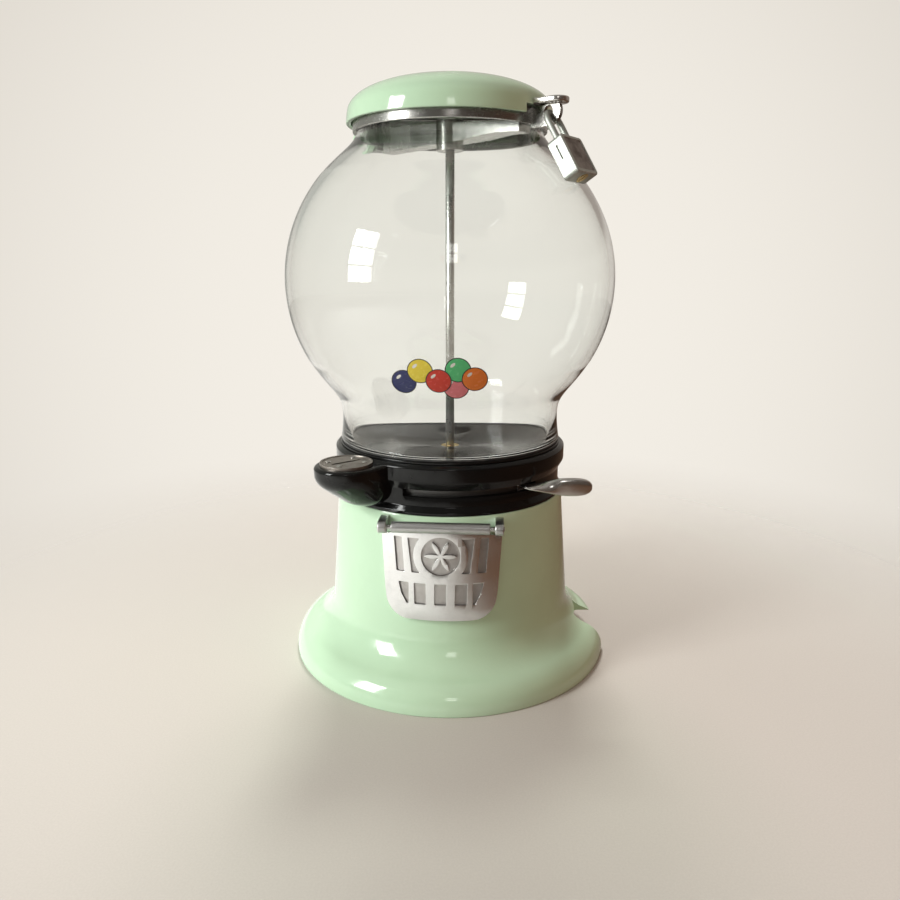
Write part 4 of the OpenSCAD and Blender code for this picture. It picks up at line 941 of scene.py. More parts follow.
@dataclass
class Flap:
    """The delivery flap: a curved cast plate with sunk panels, hung on a pin, and the chute behind it."""

    base: Base
    axis_z: float = 114.5
    axis_y: float = -84.417
    gap: float = 0.8
    thickness: float = 3.2
    width: float = 77.0
    low_width: float = 71.5
    height: float = 61.0
    corner_r: float = 15.0
    barrel_r: float = 3.6
    barrel_len: float = 62.0
    depth: float = 1.2
    rosette_z: float = -18.6
    rosette_r: float = 12.4
    petal_r: float = 10.8
    petal_drop: float = 9.353
    button_r: float = 2.1
    upper: Point = (-29.9, -7.5)
    lower: Point = (-50.5, -36.8)
    hollow_r: float = 17.4
    slice_step: float = 2.2

    def outline(self) -> list[Point]:
        """The flap from the front, about its hinge axis."""
        half, low, top = self.width / 2, self.low_width / 2, self.barrel_len / 2
        bottom = arc((low - self.corner_r, self.corner_r - self.height), self.corner_r, 0, -90, 14)
        shoulder = [(top, 0), (top, -5.5, 0.8), (half, -7.1, 1.6), (low + 0.6, self.corner_r + 4 - self.height)]
        right = rounded(shoulder) + bottom
        return right + [(-x, z) for x, z in right[::-1]]

    def panels(self) -> Form:
        """What is sunk into the flap: a rosette's field and two rows of slots."""
        low, high = self.thickness - self.depth, self.thickness + 2
        sides = ((-self.petal_drop, 118, 62), (self.petal_drop, -62, -118))
        petal = [p for y, start, stop in sides for p in arc((self.petal_r / 2, y), self.petal_r, start, stop)]
        around = [Matrix.Translation((0, self.rosette_z, 0)) @ Matrix.Rotation(i * pi / 3, 4, "Z") for i in range(6)]
        heart = (0, self.rosette_z)
        sunk = Form.disc(self.rosette_r, low, high, 64, heart)
        sunk.cut(Form.plate(petal, low - 1, high + 1).copies(around))
        sunk.cut(Form.disc(self.button_r, low - 1, high + 1, 24, heart))
        (foot, head), (toe, brow) = self.upper, self.lower
        hollow = [(x, z) for x, z in arc(heart, self.hollow_r, -38, 38, 16) if foot < z < head]
        slots = [
            rounded([(23.3, foot, 0.5), (28.5, foot, 0.5), (30.2, head, 0.5), (25, head, 0.5)]),
            rounded([(13.2, foot, 0.4), (18.5, foot, 0.5), (21.2, head, 0.5), (13.6, head, 0.4)] + hollow[::-1]),
            rounded([(9.1, toe, 0.5), (16.7, toe, 0.5), (17.1, brow, 0.5), (9.5, brow, 0.5)]),
            rounded([(20.5, toe, 0.5), (22, toe, 0.6), (25.6, -44, 3), (27.2, brow, 0.5), (20.5, brow, 0.5)]),
        ]
        middle = rounded([(-3.8, toe, 0.5), (3.8, toe, 0.5), (3.8, brow, 0.5), (-3.8, brow, 0.5)])
        sunk.join(Form.plate(middle, low, high))
        for slot in slots:
            sunk.join(Form.plate(slot, low, high), Form.plate([(-x, z) for x, z in slot[::-1]], low, high))
        return sunk

    def on_neck(self, flat: Vector) -> Vector:
        """Where a point of the flat plate lies once the plate is bent round the neck."""
        z = self.axis_z + flat.y
        reach = self.base.neck_at(z) + self.gap + flat.z
        return Vector((flat.x, -sqrt(reach * reach - flat.x * flat.x), z))

    def build(self) -> None:
        """Builds and dresses the flap, its pin, the chute and the chute's screws."""
        plate = Form.plate(self.outline(), 0, self.thickness).cut(self.panels()).soften(0.42, 40, 3)
        floor_at = self.thickness - self.depth
        plate.paint(1, lambda middle, normal: normal.z > 0.95 and abs(middle.z - floor_at) < 0.05)
        # Index 2 paints the lower walls of the sunk panels near black: painted shade in the recesses.
        plate.paint(2, lambda middle, normal: floor_at + 0.05 < middle.z < floor_at + 0.65 * self.depth
                    and abs(middle.x) < 31.5 and -53 < middle.y < -5)
        steps = int(self.width / 2 / self.slice_step)
        plate.slices((1, 0, 0), [i * self.slice_step for i in range(-steps, steps + 1)])
        plate.slices((0, 1, 0), [-i * 6.0 for i in range(1, 10)])
        plate.bend(self.on_neck)
        barrel = Form.pin(self.barrel_r, self.barrel_len / 2, 0.6, 40)
        lie = Matrix.Translation((0, self.axis_y, self.axis_z)) @ Matrix.Rotation(pi / 2, 4, "Y")
        plate.join(barrel.place(lie).paint(3, lambda middle, normal: True))
        extra = [PALETTE.of(look) for look in (SUNK, PANEL_WALL_SHADE, SATIN)]
        plate.piece("delivery_flap_plate", "flap", Finish.ALUMINIUM, "delivery_flap", extra, 32)
        Form.pin(1.5, 40, 0.4).place(lie).piece("flap_hinge_pin", "machine", Finish.STEEL, "flap_pin")
        copy_piece("delivery_chute", "machine", Finish.SHEET, 0.3)
        spots = [Matrix.Translation((x, -44, 118.4)) @ FLIP for x in (-31.5, 31.5)]
        Screw(3.2, 2.2, 1.6, 4.6).build("chute_screw_pair", "machine", "chute_screws", spots)


@dataclass
class Drum:
    """The black mechanism drum with its coin boss, and the mechanism inside it."""

    foot_z: float = 120.0
    top_z: float = 153.0
    bore_r: float = 72.5
    foot_r: float = 79.5
    waist_r: float = 77.5
    band_r: float = 81.0
    hub_r: float = 14.0
    rod_hole_r: float = 3.1
    outlet: tuple[float, float] = (12.2, -47.0)
    boss_angle: float = -129.5
    boss_reach: float = 95.0
    boss_r: float = 20.5
    boss_top: float = 151.5
    boss_low: float = 122.0
    boss_lift: float = 11.0
    boss_bowl: float = 13.0
    boss_root: float = 80.0
    boss_inner: float = 74.6
    plate_r: float = 16.7
    slot: tuple[float, float, float, float] = (-108.8, -39.8, 131.5, 136.5)
    slot_turn: float = -9.0
    coin: tuple[float, float] = (21.0, 2.4)
    screw_angles: tuple[float, ...] = (38.0, 142.0, 218.0, 322.0)

    def shell(self) -> Form:
        """The drum's round casting."""
        z, top = self.foot_z, self.top_z
        return Form.lathe(rounded([
            (self.foot_r, z, 0.6), (self.foot_r, z + 2, 1), (self.waist_r, z + 5.5, 1.6), (self.waist_r, z + 16, 4),
            (self.band_r, z + 22, 3), (self.band_r, top - 2, 1.6), (self.band_r - 2, top, 1), (self.bore_r, top, 0.7),
            (self.bore_r, z + 4, 2), (self.hub_r, z + 4, 0.3), (self.hub_r, z + 5, 0.3), (self.rod_hole_r, z + 5),
            (self.rod_hole_r, z)], 6), 144)

    def boss(self) -> Form:
        """The coin boss: a round end with a bowl-shaped bottom, hulled with a deeper one at the drum."""
        top, radius = self.boss_top, self.boss_r
        form = Form()
        for reach, low in ((self.boss_reach, self.boss_low + self.boss_lift), (self.boss_root, self.boss_low)):
            bowl = [(radius * cos(radians(a)), low + self.boss_bowl * (1 - sin(radians(a)))) for a in range(0, 91, 6)]
            outline = rounded([(0, top), (radius, top, 2.2), bowl[0]], 6)[:-1] + bowl
            form.join(Form.lathe(outline, 96, False).place(Matrix.Translation((reach, 0, 0))))
        form.hull().trim((self.boss_inner, 0, 0), (-1, 0, 0))
        return form.place(turned(self.boss_angle))

    def coin_room(self) -> Form:
        """The dark room under the coin slot."""
        length, width = self.coin[0] / 2 + 0.3, self.coin[1] / 2 + 0.4
        room = Form.block((-length, length), (-width, width), 136, 160)
        return room.place(turned(self.boss_angle, self.boss_reach) @ turned(self.slot_turn))

    def build(self) -> None:
        """Builds and dresses the drum, the coin plate and the parts that turn inside."""
        seat = Form.disc(self.plate_r + 0.2, self.boss_top, self.top_z + 5, 72)
        seat.place(turned(self.boss_angle, self.boss_reach))
        start, stop, low, high = self.slot
        slot = Form.plate(sector(self.bore_r - 2, 86, start, stop), low, high)
        radius, y = self.outlet
        outlet = Form.disc(radius, self.foot_z - 2, self.foot_z + 8, 48, (0, y))
        casting = self.shell().unite(self.boss()).cut(seat, self.coin_room(), slot, outlet).soften(0.5, 50)
        post = Form.lathe(rounded([(0, 0), (1.2, 0), (1.2, 7.4, 0.3), (0, 7.4)]), 20, False)
        casting.join(post.place(turned(62, 65.9, 0, 142.5) @ Matrix.Rotation(pi / 2, 4, "Y")))
        casting.piece("mechanism_drum", "machine", Finish.BLACK, "drum_casting")
        copy_piece("coin_plate", "machine", Finish.WARM, 0.22)
        boss = turned(self.boss_angle, self.boss_reach) @ turned(self.slot_turn)
        spots = [boss @ turned(a, 11.5, 0, 153.1) @ turned(70 + a) for a in self.screw_angles]
        Screw(1.7, 0.7, 1, 5).build("coin_plate_screw_set", "machine", "coin_plate_screws", spots)
        copy_piece("drum_bolts", "machine", Finish.STEEL, 0.4)
        copy_piece("carrier_ring", "lever", Finish.CAST, 0.5)
        copy_piece("vend_wheel", "wheel", Finish.CAST, 0.6)
        copy_piece("wheel_bush", "machine", Finish.BRASS, 0.3)


@dataclass
class Lever:
    """The lever: a flat bar through the drum's slot, twisted into a thumb paddle, with its screw and spring."""

    angle: float = -44.3
    bar_z: float = 134.0
    bend_r: float = 80.5
    handle_len: float = 39.0
    handle_turn: float = 48.0
    spring_r: float = 67.85
    spring_z: float = 142.5
    spring_span: tuple[float, float] = (62.0, 8.0)
    coil_r: float = 2.2
    wire_r: float = 0.36
    turns: int = 58

    def at(self, share: float) -> Point:
        """Place on the handle's straight run at a share of its length."""
        run = share * self.handle_len
        return (self.bend_r + run * cos(radians(self.handle_turn)), run * sin(radians(self.handle_turn)))

    def ring(self, place: Point, heading: float, twist: float, width: float, thickness: float) -> Matrix:
        """A cross-section of the bar, as a matrix for a ring of radius 1."""
        turn = Matrix.Rotation(radians(heading), 4, "Z") @ Matrix.Rotation(radians(twist), 4, "X")
        upright = Matrix(((0, 0, 1, 0), (1, 0, 0, 0), (0, 1, 0, 0), (0, 0, 0, 1)))
        return Matrix.Translation((*place, 0)) @ turn @ upright @ Matrix.Diagonal((width / 2, thickness / 2, 1, 1))

    def bar(self) -> Form:
        """The bar and its paddle, in the lever's own frame."""
        h = self.handle_turn
        stations = [
            ((70.5, 0), 0, 0, 10, 3), ((74, 0), 0, 0, 10, 3), (self.at(-0.05), 6, 4, 9.2, 3),
            (self.at(0.1), 24, 18, 8.6, 3), (self.at(0.2), 38, 42, 8.4, 3.2), (self.at(0.3), h, 66, 9, 3.7),
            (self.at(0.42), h, 88, 11.4, 4.5), (self.at(0.6), h, 90, 12.5, 5), (self.at(0.78), h, 90, 12.3, 5),
            (self.at(0.9), h, 90, 10.2, 4.6), (self.at(0.965), h, 90, 6.4, 3.6), (self.at(0.99), h, 90, 3, 2)]
        return Form.loft([self.ring(*s) for s in stations], 20, 0.75)

    def coil(self) -> Form:
        """The wound return spring along its arc round the drum."""
        start, stop = self.spring_span
        start, stop = start - 1.3, stop + 1.3
        rings = []
        count = self.turns * 10
        for i in range(count + 1):
            share = i / count
            around = radians(start + (stop - start) * share)
            wind = 2 * pi * self.turns * share
            reach = self.spring_r + self.coil_r * cos(wind)
            centre = Vector((reach * cos(around), reach * sin(around), self.spring_z + self.coil_r * sin(wind)))
            out = Vector((cos(around), sin(around), 0)) * cos(wind) + Vector((0, 0, sin(wind)))
            along = Vector((sin(around), -cos(around), 0)) * self.coil_r * 0.12
            run = (out.cross(Vector((sin(around), -cos(around), 0))) * -self.coil_r + along).normalized()
            rings.append(frame_of(centre, out, run.cross(out)) @ Matrix.Diagonal((self.wire_r, self.wire_r, 1, 1)))
        return Form.loft(rings, 7)

    def build(self) -> None:
        """Builds and dresses the lever, its screw and its spring."""
        place = turned(self.angle, 0, 0, self.bar_z)
        root = Form.block((64.6, 72.1), (-5, 5), -4, 2.3).soften(0.6, 40, 3).place(place)
        obj = root.join(self.bar().place(place)).piece("lever_handle", "lever", Finish.NICKEL, "lever", sharp=60)
        smooth = obj.modifiers.new("smooth", "SUBSURF")
        smooth.levels = smooth.render_levels = 2
        spot = turned(self.angle, 68.35, 0, 136.3)
        Screw(3, 1.6, 1.6, 10.5).build("lever_root_screw", "lever", "lever_screw", [spot])
        spring = self.coil().piece("wound_return_spring", None, Finish.STEEL, "return_spring", sharp=80)
        ends = [Vector((*arc((0, 0), self.spring_r * MM, a, a, 1)[0], self.spring_z * MM)) for a in self.spring_span]
        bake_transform(spring, "machine", "lever", start=tuple(ends[0]), end=tuple(ends[1]))


@dataclass
class Globe:
    """The glass globe with its gaskets, the hopper below it and the rod through it."""

    foot_z: float = 156.3
    foot_r: float = 77.0
    waist_r: float = 75.3
    half_w: float = 110.5
    half_h: float = 106.08
    middle_z: float = 262.036
    neck_r: float = 59.8
    top_z: float = 365.14
    glass: float = 4.0
    dish: tuple[float, float, float] = (77.5, 153.02, 154.7)
    well: tuple[float, float, float] = (15.0, 142.1, 144.5)
    bush_hole_r: float = 6.6
    feed: tuple[float, float] = (13.0, 47.0)
    rod_r: float = 3.0
    rod_span: Point = (111.0, 368.84)
    thread: tuple[float, float] = (0.6, 2.62)
    threads: tuple[tuple[float, int], ...] = ((111.4, 14), (351.0, 29))

    def side(self, inset: float) -> list[Point]:
        """The globe's side from foot to lip, moved inwards, with its corners eased."""
        r, h = self.half_w - inset, self.half_h - inset
        low, high = -acos((self.waist_r - inset) / r), acos((self.neck_r - inset) / r)
        turns = [low + (high - low) * i / 90 for i in range(91)]
        belly = [(r * cos(a), self.middle_z + h * sin(a)) for a in turns]
        foot = [(self.foot_r, self.foot_z), (self.foot_r, self.foot_z + 3)] if not inset else []
        foot += [(self.waist_r - inset, self.foot_z + (8 if not inset else 0))]
        whole = foot + belly + [(self.neck_r - inset, self.top_z)]
        return eased(whole, 1.6, 26, lambda p: 210 < p[1] < 330 or p[1] < self.foot_z + 1.2 or p[1] > self.top_z - 6)

    def out_at(self, z: float) -> float:
        """Outside radius of the globe's belly at a height."""
        return self.half_w * sqrt(1 - ((z - self.middle_z) / self.half_h) ** 2)

    def bowl(self) -> Form:
        """The glass, with a rounded lip and foot."""
        outer, inner = self.side(0), self.side(self.glass)
        lip = rounded([outer[-2], (*outer[-1], 1.2), (*inner[-1], 1.2), inner[-2]])[1:-1]
        foot = rounded([inner[1], (*inner[0], 0.8), (*outer[0], 1.0), outer[1]])[1:-1]
        return Form.lathe(outer[1:-1] + lip + inner[-2:0:-1] + foot, 192)

    def hopper(self) -> Form:
        """The dish that leads candy to the feed hole."""
        (rim, rim_low, rim_top), (flat, flat_low, flat_top) = self.dish, self.well
        dish = Form.lathe(rounded([
            (rim, rim_low, 0.4), (rim, rim_top, 0.6), (70.5, rim_top, 2.5), (flat, flat_top, 3),
            (self.bush_hole_r, flat_top, 0.4), (self.bush_hole_r, flat_low), (flat, flat_low, 2), (67.5, 151.8, 1),
            (72, rim_low, 0.3)], 6), 128)
        inner, y = self.feed
        outer = inner + 2
        tube = Form.lathe(rounded([(inner, 137.3, 0.3), (outer, 137.3, 0.3), (outer, 150), (inner, 150)]), 56)
        place = Matrix.Translation((0, y, 0))
        tube.trim((0, 0, 146.6), Vector((0, -10.2, 55.5)))
        return dish.cut(Form.disc(inner, 130, 170, 56).place(place)).soften(0.5, 50).join(tube.place(place))

    def rod(self) -> Form:
        """The centre rod with threads at both ends."""
        (low, high), (pitch, core_r), end_r = self.rod_span, self.thread, 0.8 * self.rod_r
        outline = [(0, low), (end_r, low)]
        for start, count in self.threads:
            for i in range(count):
                outline += [(self.rod_r, start + pitch * i), (core_r, start + pitch * i + pitch / 2)]
            outline += [(self.rod_r, start + pitch * count)]
        return Form.lathe(outline + [(end_r, high), (0, high)], 32, False)

    def build(self) -> None:
        """Builds and dresses the globe and what stands in it."""
        self.bowl().piece("glass_globe", "machine", Finish.GLASS, "globe", sharp=70)
        rings = {"globe_gasket": (71.4, 76.7, 154.75, 156.28), "neck_gasket": (55.9, 59.7, 365.2, 366.3)}
        for node, (inner, outer, low, high) in rings.items():
            outline = rounded([(inner, low, 0.4), (outer, low, 0.5), (outer, high, 0.5), (inner, high, 0.4)])
            Form.lathe(outline, 128).piece(node + "_ring", "machine", Finish.RUBBER, node)
        self.hopper().piece("candy_hopper", "machine", Finish.BLACK, "hopper_dish")
        self.rod().piece("threaded_centre_rod", "machine", Finish.STEEL, "centre_rod", sharp=55)
        for node in ("lower_washer", "upper_washer", "lower_nut", "upper_nut"):
            copy_piece(node, "machine", Finish.STEEL, 0.35)


@dataclass
class Label:
    """A transfer of overlapping round sweets on the front of the globe."""

    globe: Globe
    middle_z: float = 210.0
    radius: float = 7.6
    border: float = 0.55
    step: float = 0.05

    def sweets(self) -> list[tuple[str, float, float, Colour]]:
        """Name, place and colour of each sweet, from the back one to the front one."""
        return [("navy", -20.5, -2.5, srgb(24, 30, 92)), ("yellow", -10.5, 4.6, srgb(240, 214, 66)),
                ("pink", 10.0, -5.6, srgb(238, 132, 140)), ("green", 11.5, 5.4, srgb(92, 200, 128)),
                ("orange", 21.0, -0.5, srgb(246, 132, 50)), ("red", 0.0, -1.5, srgb(214, 58, 40))]

    def on_glass(self, x: float, z: float, lift: float) -> Vector:
        """The point of the glass in front of x and z, lifted off it."""
        reach = self.globe.out_at(z) + lift
        return Vector((x, -sqrt(reach * reach - x * x), z))

    def build(self) -> None:
        """Builds and dresses the sweets."""
        edge, shine = Ink("label_outline", srgb(38, 30, 28)), Ink("label_white", srgb(244, 240, 232))
        askew = Matrix.Translation((-2.9, 3.1, 0)) @ Matrix.Rotation(0.75, 4, "Z") @ Matrix.Diagonal((1.5, 0.75, 1, 1))
        for order, (name, x, up, colour) in enumerate(self.sweets()):
            lift = 0.06 + self.step * order
            radii = [0, 1.5, 3, 4.5, 6, self.radius - self.border, self.radius]
            disc = Form.lathe([(r, 0) for r in radii], 56, False)
            disc.paint(1, lambda middle, normal: middle.xy.length > self.radius - self.border)
            glint = Form.lathe([(0, 0.02), (0.7, 0.02), (1.2, 0.02)], 24, False).place(askew)
            disc.join(glint.paint(2, lambda middle, normal: True))
            disc.bend(lambda v: self.on_glass(v.x + x, v.y + up + self.middle_z, lift + v.z))
            for face in disc.bm.faces:
                face.normal_update()
                if face.normal.y > 0:
                    face.normal_flip()
            inks = [PALETTE.of(ink) for ink in (Ink("label_" + name, colour), edge, shine)]
            disc.piece("label_sweet_" + name, "machine", None, extra=inks)


@dataclass
class Lid:
    """The enamelled lid with its hasp tab, and the plated collar that carries it."""

    hasp_angle: float = HASP_ANGLE
    rim_r: float = 67.3
    side_r: float = 66.7
    rim_z: float = 361.14
    band_h: float = 2.5
    side_h: float = 6.0
    crown_h: float = 22.0
    power: float = 2.2
    wall: float = 3.0
    tab: tuple[float, float, float, float] = (366.44, 369.84, 79.0, 7.0)
    axis: tuple[float, float] = (68.5, 357.64)

    def side(self, inset: float) -> list[Point]:
        """The lid's outline from rim to crown, moved inwards."""
        r, z = self.side_r - inset, self.rim_z + self.side_h
        power, rise = 2 / self.power, self.crown_h - inset
        turns = [radians(90 * i / 44) for i in range(44)]
        crown = [(r * cos(a) ** power, z + rise * sin(a) ** power) for a in turns] + [(0.0, z + rise)]
        whole = [(self.rim_r - inset, self.rim_z), (self.rim_r - inset, self.rim_z + self.band_h)] + crown
        return eased(whole, 1.5, 5, lambda p: p[1] < self.rim_z + 0.8)

    def cap(self) -> Form:
        """The lid's round shell with a rounded rim, notched for the hasp ear."""
        outer, inner = self.side(0), self.side(self.wall)
        rim = rounded([inner[1], (*inner[0], 0.9), (*outer[0], 1.1), outer[1]])[1:-1]
        shell = Form.lathe(inner[:0:-1] + rim + outer[1:], 144, False)
        notch = sector(60, 70, self.hasp_angle - 11, self.hasp_angle + 11, 12)
        return shell.cut(Form.plate(notch, self.rim_z - 3, self.tab[0]))

    def knuckles(self) -> Form:
        """The two knuckles on the hinge pin."""
        reach, z = self.axis
        outline = arc((reach, z), 3.6, 180, 360, 16)
        outline += rounded([(72.0, z + 1.2), (69.5, z + 4, 1), (67, 364.4), (64.95, 364.4)])
        hang = turned(self.hasp_angle + 180) @ frame_of((0, 0, 0), (1, 0, 0), (0, 0, 1))
        pair = [Form.plate(outline, low, low + 8).soften(0.5, 35, 3).place(hang) for low in (8, -16)]
        return pair[0].join(pair[1])

    def build(self) -> None:
        """Builds and dresses the lid, the collar and the hinge pin."""
        low, high, end, half = self.tab
        tab = Form.plate(tongue(64.4, end, half, 20), low, high).soften(0.9, 40, 3).place(turned(self.hasp_angle))
        lid = self.cap().soften(0.5, 50).join(self.knuckles())
        hasp = Vector((cos(radians(self.hasp_angle)), sin(radians(self.hasp_angle)), 0))
        lid.join(tab.paint(1, lambda middle, normal: middle.dot(hasp) > 0))
        lid.piece("lid_cap", "lid", Finish.MINT, "lid", [PALETTE.of(Finish.NICKEL)])
        copy_piece("collar", "machine", Finish.DARK_NICKEL, 0.55)
        reach, z = self.axis
        lie = turned(self.hasp_angle + 180, reach, 0, z) @ Matrix.Rotation(pi / 2, 4, "X")
        Form.pin(1.5, 17, 0.4).place(lie).piece("lid_pin", "machine", Finish.STEEL, "lid_hinge_pin")


@dataclass
class Padlock:
    """The padlock that hangs from the hasp: shackle, case and key plug."""

    hasp_angle: float = HASP_ANGLE
    reach: float = 74.0
    hang_z: float = 361.44
    hang: float = 58.492
    wire_r: float = 1.95
    bend_r: float = 7.0
    legs: tuple[float, float] = (30.0, 25.0)
    bare: float = 18.0
    case: tuple[float, float, float, float] = (19.0, 44.5, 13.0, 5.25)
    rim_w: float = 2.2
    sunk: float = 0.45

    def frame(self) -> Matrix:
        """The padlock's own frame: X down the padlock, Y across it."""
        return turned(self.hasp_angle, self.reach, 0, self.hang_z) @ Matrix.Rotation(radians(self.hang), 4, "Y")

    def shackle(self) -> Form:
        """The bent wire with its two legs."""
        bend = arc((self.bend_r, 0), self.bend_r, 90, 270, 24)
        long, short = self.legs
        path = [(long, self.bend_r), (long - 0.5, self.bend_r), (self.bare, self.bend_r)] + bend
        path += [(self.bare, -self.bend_r), (short - 0.5, -self.bend_r), (short, -self.bend_r)]
        rings = []
        for i, here in enumerate(path):
            run = Vector(path[min(i + 1, len(path) - 1)]) - Vector(path[max(i - 1, 0)])
            size = self.wire_r * (0.75 if i in (0, len(path) - 1) else 1)
            across = Vector((-run.y, run.x, 0)).normalized()
            rings.append(frame_of((*here, 0), across, (0, 0, 1)) @ Matrix.Diagonal((size, size, 1, 1)))
        return Form.loft(rings, 20)

    def body(self) -> Form:
        """The case: rounded, with raised rims round its wide faces, holes for the legs and a slit on its side."""
        start, end, half_w, half_t = self.case
        outline = rounded([(start, -half_w, 2.5), (end, -half_w, 2.5), (end, half_w, 2.5), (start, half_w, 2.5)], 6)
        case = Form.plate(outline, -half_t, half_t).soften(0.9, 40, 3)
        near, far, side = start + self.rim_w, end - self.rim_w, half_w - self.rim_w
        panel = rounded([(near, -side, 2), (far, -side, 2), (far, side, 2), (near, side, 2)])
        for low, high in ((half_t - self.sunk, half_t + 2), (-half_t - 2, -half_t + self.sunk)):
            case.cut(Form.plate(panel, low, high))
        for leg, side in zip(self.legs, (1, -1)):
            hole = Form.disc(self.wire_r + 0.08, start - 2, leg + 1, 32)
            case.cut(hole.place(frame_of((0, side * self.bend_r, 0), (0, 1, 0), (0, 0, 1))))
        plug = Form.disc(3.85, end - 8.5, end + 2, 40).place(frame_of((0, 0, 0), (0, 1, 0), (0, 0, 1)))
        slit = Form.block((start + 5, start + 14), (-half_w - 1, -half_w + 1.2), -0.5, 0.5)
        return case.cut(plug, slit).soften(0.18, 55)

    def build(self) -> None:
        """Builds and dresses the padlock."""
        floor_at = self.case[3] - self.sunk
        case = self.body()
        case.paint(1, lambda middle, normal: abs(normal.z) > 0.9 and abs(abs(middle.z) - floor_at) < 0.15)
        case.place(self.frame())
        worn = [PALETTE.of(WORN_FACE)]
        case.piece("padlock_body", "padlock_case", Finish.PADLOCK, "padlock_case", worn, even=True)
        self.shackle().place(self.frame()).piece("padlock_bow", "padlock", Finish.PADLOCK, "padlock_shackle", sharp=60)
        copy_piece("padlock_plug", "padlock_plug", Finish.BRASS, 0.2)


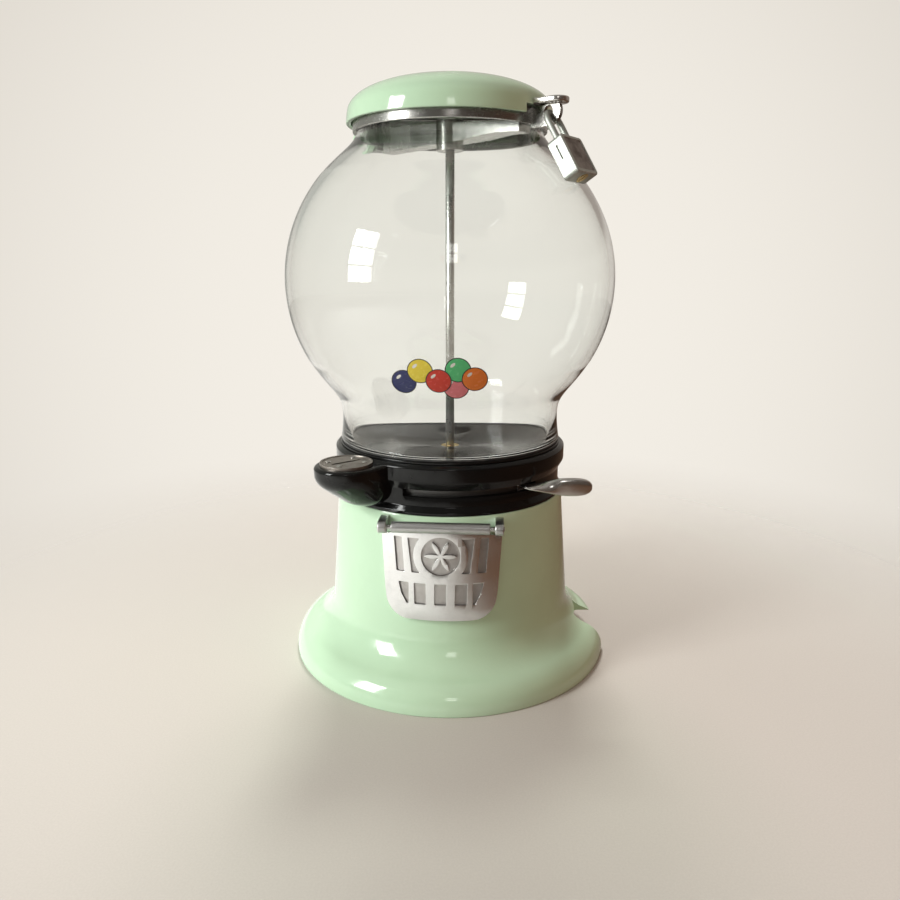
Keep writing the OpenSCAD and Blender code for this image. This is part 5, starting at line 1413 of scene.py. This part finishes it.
@dataclass
class Studio:
    """Camera, soft lamps, a pale room and a pale floor that fades into it."""

    camera_at: tuple[float, float, float] = (36.9, -527.7, 275.6)
    look_at: tuple[float, float, float] = (0.0, 0.0, 143.7)
    lens: float = 30.2
    sensor: float = 36.0
    floor_r: float = 2.6
    floor_fade: Point = (0.16, 0.62)
    lamp_aim: tuple[float, float, float] = (0.0, 0.0, 0.2)
    pane_share: float = 0.88
    wall_in_mirrors: float = 0.4
    wall_lost_in_hopper: float = 0.8

    def camera(self) -> None:
        """Places the camera."""
        data = bpy.data.cameras.new("camera")
        data.lens = self.lens
        data.sensor_width = self.sensor
        data.clip_start = 0.01
        obj = link("camera", data)
        start = Vector(self.camera_at) * MM
        obj.location = start
        obj.rotation_euler = (Vector(self.look_at) * MM - start).to_track_quat("-Z", "Y").to_euler()
        bpy.context.scene.camera = obj

    def lamp(self, name: str, place: Sequence[float], size: Point, power: float, colour: Colour,
             panes: tuple[int, int] = (1, 1), mirrored: bool = True) -> None:
        """Adds a soft rectangular lamp that faces the globe, split by bars as a window is.

        Args:
            name: the lamp's name.
            place: where it stands, in metres.
            size: its width and height.
            power: its power in watts.
            colour: its colour.
            panes: how many panes it has across and up.
            mirrored: whether glass and metal show it.
        """
        turn = (Vector(self.lamp_aim) - Vector(place)).to_track_quat("-Z", "Y")
        across, up = (length / count for length, count in zip(size, panes))
        for i, j in ((i, j) for i in range(panes[0]) for j in range(panes[1])):
            data = bpy.data.lights.new(f"{name}_{i}_{j}", "AREA")
            data.shape = "RECTANGLE"
            data.size, data.size_y = across * self.pane_share, up * self.pane_share
            data.energy = power / (panes[0] * panes[1])
            data.color = colour
            obj = link(data.name, data)
            obj.visible_camera = False
            obj.visible_glossy = obj.visible_transmission = mirrored
            offset = Vector(((i + 0.5) * across - size[0] / 2, (j + 0.5) * up - size[1] / 2, 0))
            obj.location = Vector(place) + turn @ offset
            obj.rotation_euler = turn.to_euler()

    def world(self) -> None:
        """Makes the room: pale behind the machine, bright on the left, warm and darker on the right."""
        world = bpy.data.worlds.new("room")
        world.use_nodes = True
        bpy.context.scene.world = world
        g = Graph(world.node_tree)
        x, y, z = g.split(g.add("ShaderNodeTexCoord", output="Generated"))
        ahead = y * 0.968 - x * 0.068 - z * 0.242
        wall = g.mix(g.span(ahead + z * 0.13, 0.56, 1.0), srgb(200, 193, 183), srgb(244, 239, 230))
        room = g.mix(g.span(x, -0.75, 0.35), (0.40, 0.44, 0.40), (0.11, 0.065, 0.045))
        room = g.mix(g.span(0 - y, 0.25, 0.85) * 0.8, room, (0.085, 0.075, 0.065))
        room = g.mix(g.span(z, 0.55, 0.95), room, (0.34, 0.33, 0.31))
        room = g.mix(g.span(0 - z, 0.0, 0.35), room, (0.15, 0.13, 0.11))
        mirrored = g.ray("Is Glossy Ray") * (g.span(y, -0.25, 0.3) * self.wall_in_mirrors)
        bounced = g.span(g.ray("Glossy Depth"), 0, 1)
        lost = bounced * (g.span(z, 0.1, 0.25) * self.wall_lost_in_hopper)
        through = g.ray("Is Transmission Ray") * (1 - lost)
        shown = g.ray("Is Camera Ray").most(through).most(mirrored)
        light = g.add("ShaderNodeBackground", None, {"Color": g.mix(shown, room, wall), "Strength": 1.0})
        g.add("ShaderNodeOutputWorld", None, {"Surface": light})

    def floor(self) -> None:
        """Lays the floor, which fades into the room. The camera sees it evenly pale. Its bounce light and its
        reflections are painted bright on the left and dark brown on the right, as painted light and shade.
        """
        form = Form()
        bmesh.ops.create_circle(form.bm, cap_ends=True, segments=96, radius=self.floor_r)
        obj = link("pale_floor", form.mesh("pale_floor"))
        form.bm.free()
        g = Graph.of_material("pale_floor")
        place = g.place()
        reach = g.add("ShaderNodeVectorMath", {"operation": "LENGTH"}, {0: place}, "Value")
        grain = g.noise(place, 900, 3)
        matt = {"Roughness": 0.85, "Specular IOR Level": 0.1}
        pale = g.mix(g.span(grain, 0.3, 0.7), srgb(208, 201, 193), srgb(212, 205, 197))
        side = g.split(place)[0]
        glossy = g.ray("Is Glossy Ray") * (1 - g.ray("Is Transmission Ray"))
        # Painted light and shade: what the floor throws back and what it mirrors is bright on the left and dark brown
        # on the right.
        painted_bounce_light = g.mix(g.span(side, -0.15, 0.16), (0.8, 0.82, 0.79), (0.16, 0.1, 0.07))
        painted_reflection = g.mix(g.span(side, -0.04, 0.2), (0.92, 0.92, 0.9), (0.15, 0.09, 0.06))
        thrown = glossy.most(g.ray("Is Diffuse Ray"))
        paint = g.add("ShaderNodeMixShader", None, {
            0: thrown, 1: g.surface({"Base Color": pale, **matt}),
            2: g.surface({"Base Color": g.mix(glossy, painted_bounce_light, painted_reflection), **matt})})
        clear = g.add("ShaderNodeBsdfTransparent")
        fade = g.span(reach, *self.floor_fade) * (1 - glossy)
        obj.data.materials.append(g.close(g.add("ShaderNodeMixShader", None, {0: fade, 1: paint, 2: clear})))

    def build(self) -> None:
        """Sets the stage."""
        bpy.context.scene.view_settings.view_transform = "Standard"
        self.camera()
        self.world()
        self.floor()
        self.lamp("window_left", (-0.85, -0.6, 0.55), (0.32, 0.58), 9.5, (0.98, 1.0, 0.98), (2, 3))
        self.lamp("window_front", (0.12, -1.3, 0.75), (0.18, 0.32), 0.6, (1.0, 0.99, 0.96), (2, 2))
        self.lamp("ceiling", (-0.05, 0.58, 1.0), (0.3, 0.3), 8.5, (1.0, 0.985, 0.965), mirrored=False)
        self.lamp("right_glow", (0.8, -0.4, 0.3), (0.35, 0.5), 1.3, (1.0, 0.58, 0.42), mirrored=False)


def main() -> None:
    """Builds the machine's pieces in order."""
    logging.basicConfig(level=logging.INFO, format="%(name)s %(message)s")
    Studio().build()
    base = Base()
    base.build()
    Flap(base).build()
    Drum().build()
    Lever().build()
    globe = Globe()
    globe.build()
    Label(globe).build()
    Lid().build()
    Padlock().build()


if __name__ == "__main__":
    main()
